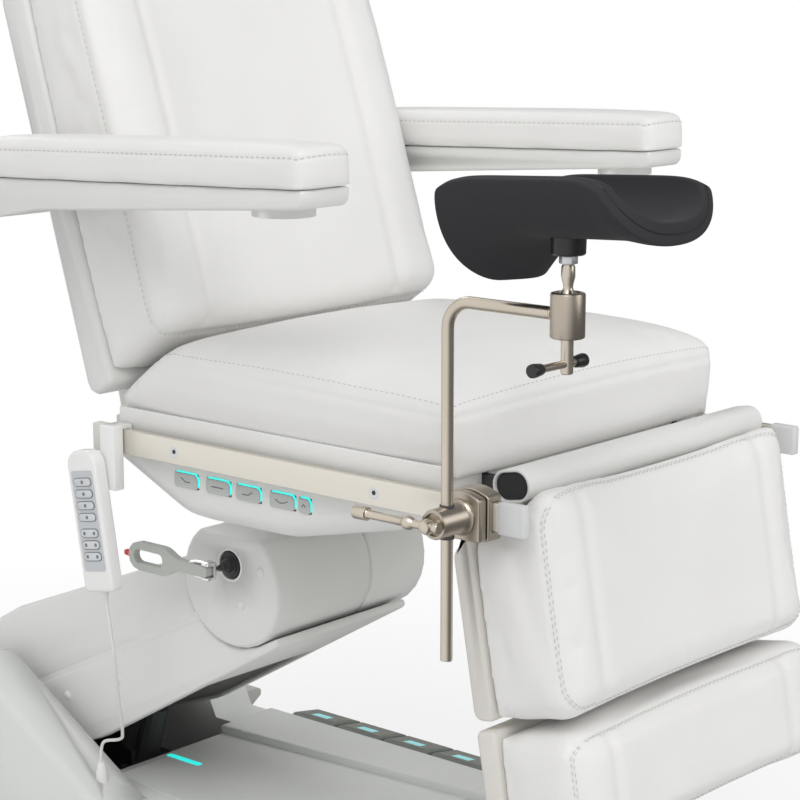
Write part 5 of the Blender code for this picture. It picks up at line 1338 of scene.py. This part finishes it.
    def _clamp(self) -> None:
        """Rail clamp: two jaw plates round the rail, the boss that takes the rod, screw and handle."""
        y, z = self.rod_y, self.clamp_z
        arch = rounded_outline([(-0.0300, -0.030, 0.004), (0.0300, -0.030, 0.004), (0.0300, 0.026, 0.006),
                                (0.0, 0.036, 0.055), (-0.0300, 0.026, 0.006)], 8)
        facing = Matrix.Translation((0.0, y, z)) @ SIDE
        inner = slab("clamp_jaw", arch, self.jaw_out, self.clamp_in, facing)
        self._slot(inner)
        dress(bevelled(inner, 0.0016, 3), NICKEL_CAST, "clamp", "rail_clamp")
        small = [(a * 0.95, b * 0.95) for a, b in arch]
        outer = slab("clamp_plate", small, self.clamp_out, self.plate_in, facing)
        dress(bevelled(outer, 0.0022, 3), NICKEL_CAST, "clamp")
        # Painted shade: a black fill in the gap between the jaw and the outer plate.
        gap_shade = slab("clamp_gap_shade", [(a * 0.86, b * 0.86) for a, b in arch], self.plate_in - 0.0007,
                    self.jaw_out + 0.0007, facing)
        dress(settle(gap_shade), SHADE_BLACK, "clamp")
        axis = pointing((0.0, y, z), (-1, 0, 0))
        end, r = -self.boss_end, self.boss_r
        boss = lathe("clamp_boss", [(0.0, 0.334), (r + 0.0045, 0.334), (r + 0.0036, 0.3375),
                                    (r + 0.001, 0.3395), (r, 0.342), (r, end - 0.0022),
                                    (r - 0.0007, end - 0.0006), (r - 0.0022, end), (r - 0.0042, end),
                                    (r - 0.0048, end - 0.0012), (r - 0.0048, end - 0.0045),
                                    (0.0, end - 0.0045)], axis, 64)
        dress(boss, NICKEL_CAST, "clamp")
        for name, top in (("rod_collar_top", z + r + 0.0006), ("rod_collar_low", z - r - 0.0006)):
            lip = lathe(name, [(self.rod_r + 0.0004, top - 0.0025), (self.rod_r + 0.0016, top - 0.0025),
                               (self.rod_r + 0.0016, top + 0.0008), (self.rod_r + 0.0004, top + 0.0008),
                               (self.rod_r + 0.0004, top - 0.0025)], self._at(y), 32)
            dress(lip, DARK_STEEL, "clamp")
        self._handle(axis, end)

    def _slot(self, jaw: bpy.types.Object) -> None:
        """Cut the rail's slot through the jaw, and the throat that passes the rail's studs.

        Args:
            jaw: The jaw's mesh.
        """
        for x, width, height in (self.slot, self.throat):
            tool = primitive(bpy.ops.mesh.primitive_cube_add, "jaw_cutter", size=1.0)
            size = Matrix.Diagonal((width, 0.2, height, 1.0))
            tool.data.transform(Matrix.Translation((x, self.rod_y, self.clamp_z)) @ size)
            carve(jaw, tool)

    def _handle(self, axis: Matrix, end: float) -> None:
        """Clamp screw with its ball, and the turned cross bar through it.

        Args:
            axis: Axes of the boss, the third one pointing out.
            end: Where the boss ends along it.
        """
        head = end + GAP
        screw = lathe("clamp_screw_head", [(0.0, 0.3685), (0.0058, 0.3685), (0.0058, head - 0.002),
                                           (0.0066, head), (0.0078, head + 0.0012), (0.0092, head + 0.0048),
                                           (0.0097, head + 0.0095), (0.0092, head + 0.0142),
                                           (0.0072, head + 0.0178), (0.004, head + 0.0192),
                                           (0.0, head + 0.0196)], axis, 48)
        dress(screw, NICKEL, "clamp_screw", "clamp_screw")
        across = pointing((-head - 0.0095, self.rod_y, self.clamp_z), (0, 1, 0))
        bar = lathe("clamp_handle", [(0.0, -0.0180), (0.0062, -0.0180), (0.0072, -0.0168),
                                     (0.0072, -0.0105), (0.0062, -0.009), (0.0054, -0.009), (0.0054, 0.021),
                                     (0.0072, 0.0235), (0.0088, 0.0275), (0.0090, 0.0305), (0.0086, 0.033),
                                     (0.0070, 0.0355), (0.0055, 0.038), (0.0055, 0.093), (0.0062, 0.094),
                                     (0.0084, 0.0945), (0.0086, 0.0955), (0.0086, 0.113), (0.0078, 0.1148),
                                     (0.0, 0.115)], across, 40)
        dress(bar, NICKEL, "clamp_screw", "clamp_bar")


def ease(a: float, b: float, t: float) -> float:
    """Smooth step from 0 at a to 1 at b."""
    x = min(max((t - a) / (b - a), 0.0), 1.0)
    return x * x * (3.0 - 2.0 * x)


@dataclass
class SideRails:
    """Both accessory rails, with their caps, stops and screws."""

    inner: float = 0.300
    outer: float = 0.310
    low: float = 0.6765
    top: float = 0.7115
    front: float = -0.675
    rear: float = 0.016
    stop: float = 0.047
    stop_rim: float = 0.0023
    screws: Pair = (-0.477, -0.115)

    def build(self) -> None:
        """Make the rail on each side."""
        for side, sign in SIDES:
            self._rail(side, sign)

    def _rail(self, side: str, sign: float) -> None:
        """One rail with its trim.

        Args:
            side: Name of the side, near or far.
            sign: Its direction across, -1 for near and 1 for far.
        """
        x0, x1 = sorted((sign * self.inner, sign * self.outer))
        bar = slab(f"rail_bar_{side}", rectangle((self.front, self.low), (self.rear, self.top)), x0, x1,
                   SIDE)
        dress(bevelled(bar, 0.0012, 3), RAIL, "seat", f"side_rail_{side}")
        box = rectangle((self.rear - 0.001, self.low - self.stop_rim),
                        (self.stop, self.top + self.stop_rim))
        stop = slab(f"rail_stop_{side}", box, x0 - 0.0024, x1 + 0.0024, SIDE)
        dress(bevelled(stop, 0.002, 3), SHELL_WARM, "seat")
        cap = refined(f"rail_cap_{side}", f"rail_end_{side}", 0.0, angle=50.0)
        dress(cap, MILKY, "seat", f"rail_cap_{side}")
        for number, y in enumerate(self.screws):
            axis = pointing((sign * self.outer, y, (self.low + self.top) / 2), (sign, 0, 0))
            head = lathe(f"rail_screw_{side}_{number + 1}", [(0.0, -0.001), (0.0084, -0.001),
                                                             (0.0084, 0.0001), (0.0078, 0.0004),
                                                             (0.0046, 0.0004), (0.0041, 0.0001),
                                                             (0.0, 0.0001)], axis, 32)
            dress(head, ZINC, "seat")
            # Painted shade: a black hexagon in the head's recess for the dark of its socket.
            dot = lathe(f"rail_socket_{side}_{number + 1}",
                        [(0.0, 0.0), (0.0032, 0.0), (0.0032, 0.0003), (0.0, 0.0003)], axis, 6)
            dress(dot, SHADE_BLACK, "seat")


@dataclass
class SeatPan:
    """Moulded tray under the seat with its lit keys."""

    face: float = -0.285
    key_z: float = 0.650
    key_height: float = 0.0202
    proud: float = 0.0038
    well: float = 0.01
    keys: tuple[Pair, ...] = ((-0.114, 0.045), (-0.176, 0.045), (-0.233, 0.045), (-0.296, 0.045),
                              (-0.336, 0.021))
    marks: tuple[tuple[Pair, ...], ...] = (((-0.6, -0.2), (0.0, -0.2), (0.5, 0.5)),
                                           ((-0.7, 0.0), (0.7, 0.0)),
                                           ((-0.6, 0.5), (-0.1, -0.2), (0.6, -0.2)),
                                           ((-0.7, 0.2), (-0.2, -0.3), (0.3, -0.3), (0.7, 0.2)),
                                           ((-0.45, -0.2), (0.0, 0.35), (0.45, -0.2)))

    def build(self) -> None:
        """Make the tray, its keys and their marks."""
        pan = refined("seat_pan", "seat_tray", angle=50.0)
        dress(pan, SHELL_PALE, "seat", "seat_pan")
        for number, (y, width) in enumerate(self.keys):
            self._key(number + 1, y, width)

    def _key(self, number: int, y: float, width: float) -> None:
        """One key, the light behind its edge and its mark.

        Args:
            number: Number of the key, from 1.
            y: Place of its middle along the pan.
            width: Its width.
        """
        a, b = width / 2, self.key_height / 2
        body = f"side_key_{number}"
        corners = [(-a, -b, 0.005), (a, -b, 0.005), (a, b, 0.005), (-a, b, 0.008)]
        place = Matrix.Translation((0.0, y, self.key_z)) @ SIDE
        outline = rounded_outline(corners)
        key = slab(f"key_{number}", outline, self.face - self.proud, self.face + 0.006, place)
        dress(bevelled(key, 0.0014, 3, 50.0), KEY_FACE, body, body)
        shine = [(u - 0.0012, v + 0.0016) for u, v in outline]
        glow = slab(f"key_light_{number}", shine, self.face - 0.0016, self.face - 0.0002, place)
        carve(glow, slab("key_well", outline, self.face - self.well, self.face + self.well, place))
        dress(glow, TEAL, "seat")
        top = self.face - self.proud - 0.0001
        line = [place @ Vector((u * a * 0.7, v * b * 0.7, top)) for u, v in self.marks[number - 1]]
        dress(pipe(f"key_mark_{number}", line, 0.0008, 8), KEY_MARK, body)


@dataclass
class LiftArm:
    """Pivot housing, arm covers, their screw caps and the lock lever."""

    half: float = 0.15
    far_end: float = 0.175
    hole: Pair = (-0.058, 0.492)
    lever_x: float = -0.198
    lever_length: float = 0.158
    slope: float = math.radians(25.888)
    joint: float = -0.032
    joint_end: float = 0.466
    joint_start: float = -0.035
    joint_half: float = 0.012
    pivot: Pair = (0.45, 0.22)
    liner: Pair = (0.1335, 0.1388)
    cap_x: float = 0.14
    arm_caps: tuple[Pair, ...] = ((0.3201, 0.2097), (0.0586, 0.4619), (0.20, 0.262))
    housing_caps: tuple[Pair, ...] = ((-0.1192, 0.4921), (-0.079, 0.4363))

    def build(self) -> None:
        """Make the housing, the covers and the lever."""
        self._housing()
        self._liner()
        for node, name in (("lift_upper_cover", "arm_upper_shell"),
                           ("lift_lower_cover", "arm_lower_shell")):
            dress(refined(node, name, angle=50.0), SHELL_PALE, "lift_arm", node)
        for number, (y, z) in enumerate(self.arm_caps):
            for side, sign in SIDES:
                self._cap(f"arm_cap_{side}_{number + 1}", (sign * self.cap_x, y, z), (sign, 0, 0),
                          "lift_arm")
        self._lever()

    def _liner(self) -> None:
        """Strip behind the joint of both covers, so that it shows as a fine line."""
        c, s = math.cos(self.slope), math.sin(self.slope)
        y, z = self.pivot
        place = Matrix(((0, 0, 1, 0), (-c, s, 0, y), (s, c, 0, z), (0, 0, 0, 1)))
        low, high = self.joint - self.joint_half, self.joint + self.joint_half
        for side, sign in SIDES:
            strip_piece = slab(f"arm_joint_{side}",
                               rectangle((self.joint_start, low), (self.joint_end, high)),
                               *sorted(sign * x for x in self.liner), place)
            dress(settle(strip_piece), SHELL_PALE, "lift_arm")

    def _cap(self, name: str, place: Point, axis: Point, body: str) -> None:
        """Domed cap over a screw.

        Args:
            name: Name of the cap.
            place: Middle of its foot.
            axis: Direction that it faces.
            body: The body that it rides on.
        """
        cap = lathe(name, [(0.0, -0.002), (0.0072, -0.002), (0.0072, 0.0006), (0.0062, 0.0018),
                           (0.0040, 0.0030), (0.0, 0.0036)], pointing(place, axis), 28)
        dress(cap, SHELL_PALE, body)

    def _housing(self) -> None:
        """Both halves of the housing, with soft outer ends and a fine seam between them."""
        for side in ("near", "far"):
            half = refined(f"housing_{side}", f"pivot_housing_{side}", angle=50.0)
            dress(half, SHELL_PALE, "carrier", f"housing_{side}")
        y, z = self.hole
        for number, (cy, cz) in enumerate(self.housing_caps):
            for side, sign in SIDES:
                face = -self.half if sign < 0 else self.far_end
                self._cap(f"housing_cap_{side}_{number + 1}", (face, cy, cz), (sign, 0, 0), "carrier")
        rim = lathe("lever_ring", [(0.0212, -0.004), (0.0246, -0.004), (0.0246, 0.0004), (0.0238, 0.0014),
                                   (0.0222, 0.0014), (0.0212, 0.0004), (0.0212, -0.004)],
                    pointing((-self.half, y, z), (-1, 0, 0)), 48)
        dress(rim, WHITE, "carrier")
        boot = lathe("lever_boot", [(0.0, 0.0105), (0.0085, 0.0105), (0.0105, 0.0085), (0.0115, 0.0055),
                                    (0.0150, 0.0050), (0.0165, 0.0020), (0.0190, 0.0015), (0.0203, -0.0015),
                                    (0.0203, -0.027), (0.0, -0.027)],
                     pointing((-self.half, y, z), (-1, 0, 0)), 48)
        dress(boot, BLACK_BOOT, "carrier", "lock_boot")

    def _lever(self) -> None:
        """Chrome fork, loop handle and its red tip."""
        y, z = self.hole
        x = self.lever_x
        fork = refined("lever_fork", "fork", 0.0012, 2)
        dress(fork, CHROME, "lever", "lever_fork")
        for number, dz in enumerate((-0.0115, 0.0115)):
            line = [Vector((x + 0.002, y + run, z + dz * share))
                    for run, share in ((-0.005, 1.0), (0.020, 0.95), (0.034, 0.70))]
            dress(pipe(f"fork_prong_{number + 1}", line, 0.0026, 12), CHROME, "lever")
        handle = refined("lock_lever", "loop_handle", 0.0022, 3, 50.0)
        dress(handle, HANDLE_GREY, "lever", "lock_lever")
        tip = y + self.lever_length
        red = slab("lever_tip", rounded_outline([(tip - 0.0105, z - 0.006, 0.001),
                                                 (tip + 0.0125, z - 0.0035, 0.001),
                                                 (tip + 0.0125, z + 0.0035, 0.001),
                                                 (tip - 0.0105, z + 0.006, 0.001)], 3), x - 0.002,
                   x + 0.0045, SIDE)
        dress(bevelled(red, 0.0008, 2), RED, "lever")


@dataclass
class Base:
    """Base cover, its lit strip, the dark well and the foot pedals."""

    plateau: float = 0.098
    shelf: float = 0.111
    pedal_rear: float = 0.22
    pedal_pitch: float = 0.102
    pedal_in: float = 0.254
    tread_z: float = 0.1001
    tread_slope: float = -0.012 / 0.068

    def build(self) -> None:
        """Make the base's shells, light and pedals."""
        dress(refined("base_cover", "base_shell", angle=50.0), BASE_GREY, "base", "base_cover")
        light = slab("base_light", rectangle((-0.018, 0.155), (-0.006, 0.228), 0.004, 4),
                     self.plateau - 0.001, self.plateau + 0.0006)
        dress(settle(light), TEAL, "base")
        panel = slab("base_panel", rounded_outline([(-0.135, -0.30, 0.03), (0.135, -0.30, 0.03),
                                                    (0.135, 0.12, 0.0), (0.12, 0.222, 0.0),
                                                    (-0.12, 0.222, 0.0), (-0.135, 0.12, 0.0)], 6),
                     self.plateau - 0.002, self.plateau + 0.0004)
        dress(bevelled(panel, 0.0004, 1), BASE_GREY, "base")
        shelf = slab("base_shelf", rounded_outline([(0.116, 0.240, 0.004), (0.158, -0.300, 0.02),
                                                    (0.236, -0.300, 0.02), (0.236, 0.240, 0.004)], 5),
                     self.plateau - 0.028, self.shelf)
        dress(bevelled(shelf, 0.0055, 3), BASE_GREY, "base")
        for number in range(4):
            self._pedal(number)
        dress(refined("rear_pedal", "lock_pedal", 0.002, 3), LOCK_PEDAL, "rear_pedal", "rear_pedal")

    def _pedal(self, number: int) -> None:
        """One pedal with a lighter tread and a lit mark.

        Args:
            number: Number of the pedal, from 0 at the rear.
        """
        name = f"pedal_{number + 1}"
        dress(refined(name, f"foot_{name}", 0.0018, 3), PEDAL, name, name)
        rear = self.pedal_rear - number * self.pedal_pitch
        middle = Matrix.Translation((self.pedal_in + 0.012, rear - self.pedal_pitch / 2, self.tread_z))
        turn = middle @ Matrix.Rotation(-math.atan(self.tread_slope), 4, "Y")
        tread = slab(f"tread_{number + 1}", rectangle((0.004, -0.040), (0.052, 0.040), 0.003, 3), -0.0006,
                     0.0011, turn)
        dress(bevelled(tread, 0.0005, 2), PEDAL_TOP, name)
        mark = slab(f"tread_mark_{number + 1}", rectangle((0.012, -0.017), (0.030, 0.017)), 0.0009, 0.0014,
                    turn)
        dress(settle(mark), ICON, name)


@dataclass
class Handset:
    """Hand control on its holder, with the cord down to the base."""

    centre: Point = (-0.340, 0.016, 0.5825)
    length: float = 0.20
    width: float = 0.06
    thick: float = 0.022
    tilt: float = math.radians(10.0)
    gland: Point = (-0.205, 0.17, 0.154)
    cord_r: float = 0.0024
    key_half: float = 0.0185
    key_step: float = 0.0165

    def place(self) -> Matrix:
        """Axes of the handset: across, up, out of its back."""
        return Matrix.Translation(self.centre) @ Matrix.Rotation(-self.tilt, 4, "X") @ SIDE

    def build(self) -> None:
        """Make the handset, its keys, its holder and its cord."""
        self._cord()
        a, b = self.width / 2, self.length / 2
        outline = rounded_outline([(-a, -b, 0.008), (a, -b, 0.008), (a, b, 0.022), (-a, b, 0.022)])
        shell = slab("handset_shell", outline, -self.thick / 2, self.thick / 2, self.place())
        dress(bevelled(shell, 0.005, 4, 50.0), WHITE, "handset", "handset")
        face = -self.thick / 2
        plate = rectangle((-a * 0.74, -b * 0.70), (a * 0.74, b * 0.72), 0.004)
        dress(settle(slab("handset_keypad", plate, face - 0.0006, face + 0.002, self.place())), KEYPAD,
              "handset")
        for number in range(4):
            self._key(f"handset_key_{number + 1}", b * 0.56 - number * self.key_step, 0.0062)
        for number in range(3):
            self._key(f"handset_pair_{number + 1}", -b * 0.16 - number * self.key_step, 0.0066, True)
        dress(refined("handset_holder", "holder", 0.0012, 2), WHITE, "seat", "handset_holder")

    def _key(self, name: str, up: float, rise: float, double: bool = False) -> None:
        """One oval key, or a pair under one rim.

        Args:
            name: Name of the key.
            up: Its height on the handset.
            rise: Half its height.
            double: Whether it is a pair.
        """
        half = self.key_half
        face = -self.thick / 2
        place = self.place() @ Matrix.Translation((0.0, up, 0.0))
        rim = rectangle((-half, -rise), (half, rise), rise, 8)
        dress(bevelled(slab(name, rim, face - 0.0014, face, place), 0.0005, 2), KEY_MARK, "handset")
        inner = [(u * 0.93, v * 0.82) for u, v in rim]
        dress(bevelled(slab(f"{name}_cap", inner, face - 0.0020, face, place), 0.0005, 2), KEYPAD_KEY,
              "handset")
        spots = (-half * 0.55, half * 0.55) if double else (0.0,)
        for number, u in enumerate(spots):
            dot = lathe(f"{name}_dot_{number + 1}", [(0.0, 0.0019), (0.0026, 0.0019), (0.0026, 0.0023),
                                                     (0.0018, 0.0023), (0.0, 0.0021)],
                        place @ Matrix.Translation((u, 0.0, face)) @ Matrix.Rotation(math.pi, 4, "X"), 20)
            dress(dot, KEY_MARK, "handset")

    def _cord(self) -> None:
        """Cord from the handset's strain relief to the gland on the base."""
        lean = Matrix.Rotation(-self.tilt, 4, "X")
        foot = Matrix.Translation(self.centre) @ lean @ Vector((0.0, 0.0, -self.length / 2))
        down = lean.to_3x3() @ Vector((0.0, 0.0, -1.0))
        relief = lathe("cord_relief", [(0.0, -0.006), (0.0062, -0.006), (0.0062, 0.003), (0.0050, 0.0045),
                                       (0.0046, 0.007), (0.0042, 0.009), (0.0036, 0.0118), (0.0, 0.0118)],
                       pointing(foot, down), 32)
        dress(relief, CORD_WHITE, "handset")
        start = foot + down * 0.0123
        end = Vector(self.gland) + Vector((0.0, 0.0, GAP))
        span = start.z - end.z
        route = [start, start + down * 0.045, Vector((-0.334, -0.012, start.z - span * 0.28)),
                 Vector((-0.300, 0.020, start.z - span * 0.52)),
                 Vector((-0.250, 0.070, start.z - span * 0.74)), Vector((-0.213, 0.118, end.z + 0.050)),
                 end + Vector((-0.001, -0.009, 0.034)), end + Vector((0.0, 0.0, 0.014)), end]
        points = smooth_path(route, 0.005)
        cord = round_bar("handset_lead", points, self.cord_r, 4)
        dress(cord, CORD_WHITE, "base", "handset_cord")


@dataclass
class LegBar:
    """Oval hinge bar between the seat and the leg rest, open at its near end."""

    near: float = -0.24
    far: float = 0.29
    deep: float = 0.029
    high: float = 0.021
    wall: float = 0.0035

    def _oval(self, inset: float) -> list[Pair]:
        """Oval section, drawn in by a distance."""
        a, b = self.high - inset, self.deep - inset
        return rectangle((-a, -b), (a, b), a * 0.98, 10)

    def build(self) -> None:
        """Make the bar, its hollow mouth, and a black disc inside the mouth as painted shade."""
        place = leg_axes()
        bar = slab("leg_bar", self._oval(0.0), self.near, self.far, place)
        with Editing(bar) as bm:
            mouth = min(bm.faces, key=lambda face: face.calc_center_median().x)
            mouth.select_set(True)
            bmesh.update_edit_mesh(bar.data)
            bpy.ops.mesh.inset(thickness=self.wall)
            bpy.ops.mesh.extrude_region_move(TRANSFORM_OT_translate={"value": (0.06, 0.0, 0.0)})
        dress(bevelled(bar, 0.0012, 3, 50.0), SHELL_PALE, "leg", "front_bar")
        # Painted shade: a black disc just behind the rim, so the mouth reads dark.
        dark = slab("bar_mouth_shade", self._oval(self.wall + GAP), self.near + 0.004, self.near + 0.006, place)
        dress(settle(dark), SHADE_BLACK, "leg")


@dataclass
class Shells:
    """Moulded shells of the back, arms and leg rest, and the steel inside."""

    rigid: tuple[tuple[str, Finish, str], ...] = (("back_shell", SHELL_GREY, "back"),
                                                  ("leg_shell", SHELL_WARM, "leg"),
                                                  ("foot_shell", SHELL_WARM, "foot"),
                                                  ("arm_body_near", SHELL_GREY, "arm_near"),
                                                  ("arm_body_far", SHELL_GREY, "arm_far"),
                                                  ("cord_gland", WHITE, "base"))
    steel: tuple[str, ...] = ("base_plate", "lift_pin", "lift_beam", "lift_actuator", "swivel_plate",
                              "seat_frame", "back_hinge_pin", "leg_hinge_pin", "headrest_post")

    def build(self) -> None:
        """Make smooth shells, and give the inner steel its finish."""
        for node, finish, body in self.rigid:
            dress(refined(node, f"{node}_skin", angle=50.0), finish, body, node)
        for node in self.steel:
            self._coat(node, DARK_STEEL)
        self._coat("lift_rod", ZINC)

    def _coat(self, node: str, finish: Finish) -> None:
        """Give a solid its finish as it stands.

        Args:
            node: The solid.
            finish: Its finish.
        """
        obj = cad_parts[node]
        obj.data.materials.clear()
        obj.data.materials.append(finish.material())


def main() -> None:
    """Build the studio and every sub-assembly."""
    logging.basicConfig(level=logging.INFO, format="%(name)s: %(message)s")
    for part in (Studio(), Handset(), Upholstery(), KneeCrutch(), SideRails(), SeatPan(), LiftArm(), Base(),
                 LegBar(), Shells()):
        part.build()


if __name__ == "__main__":
    main()
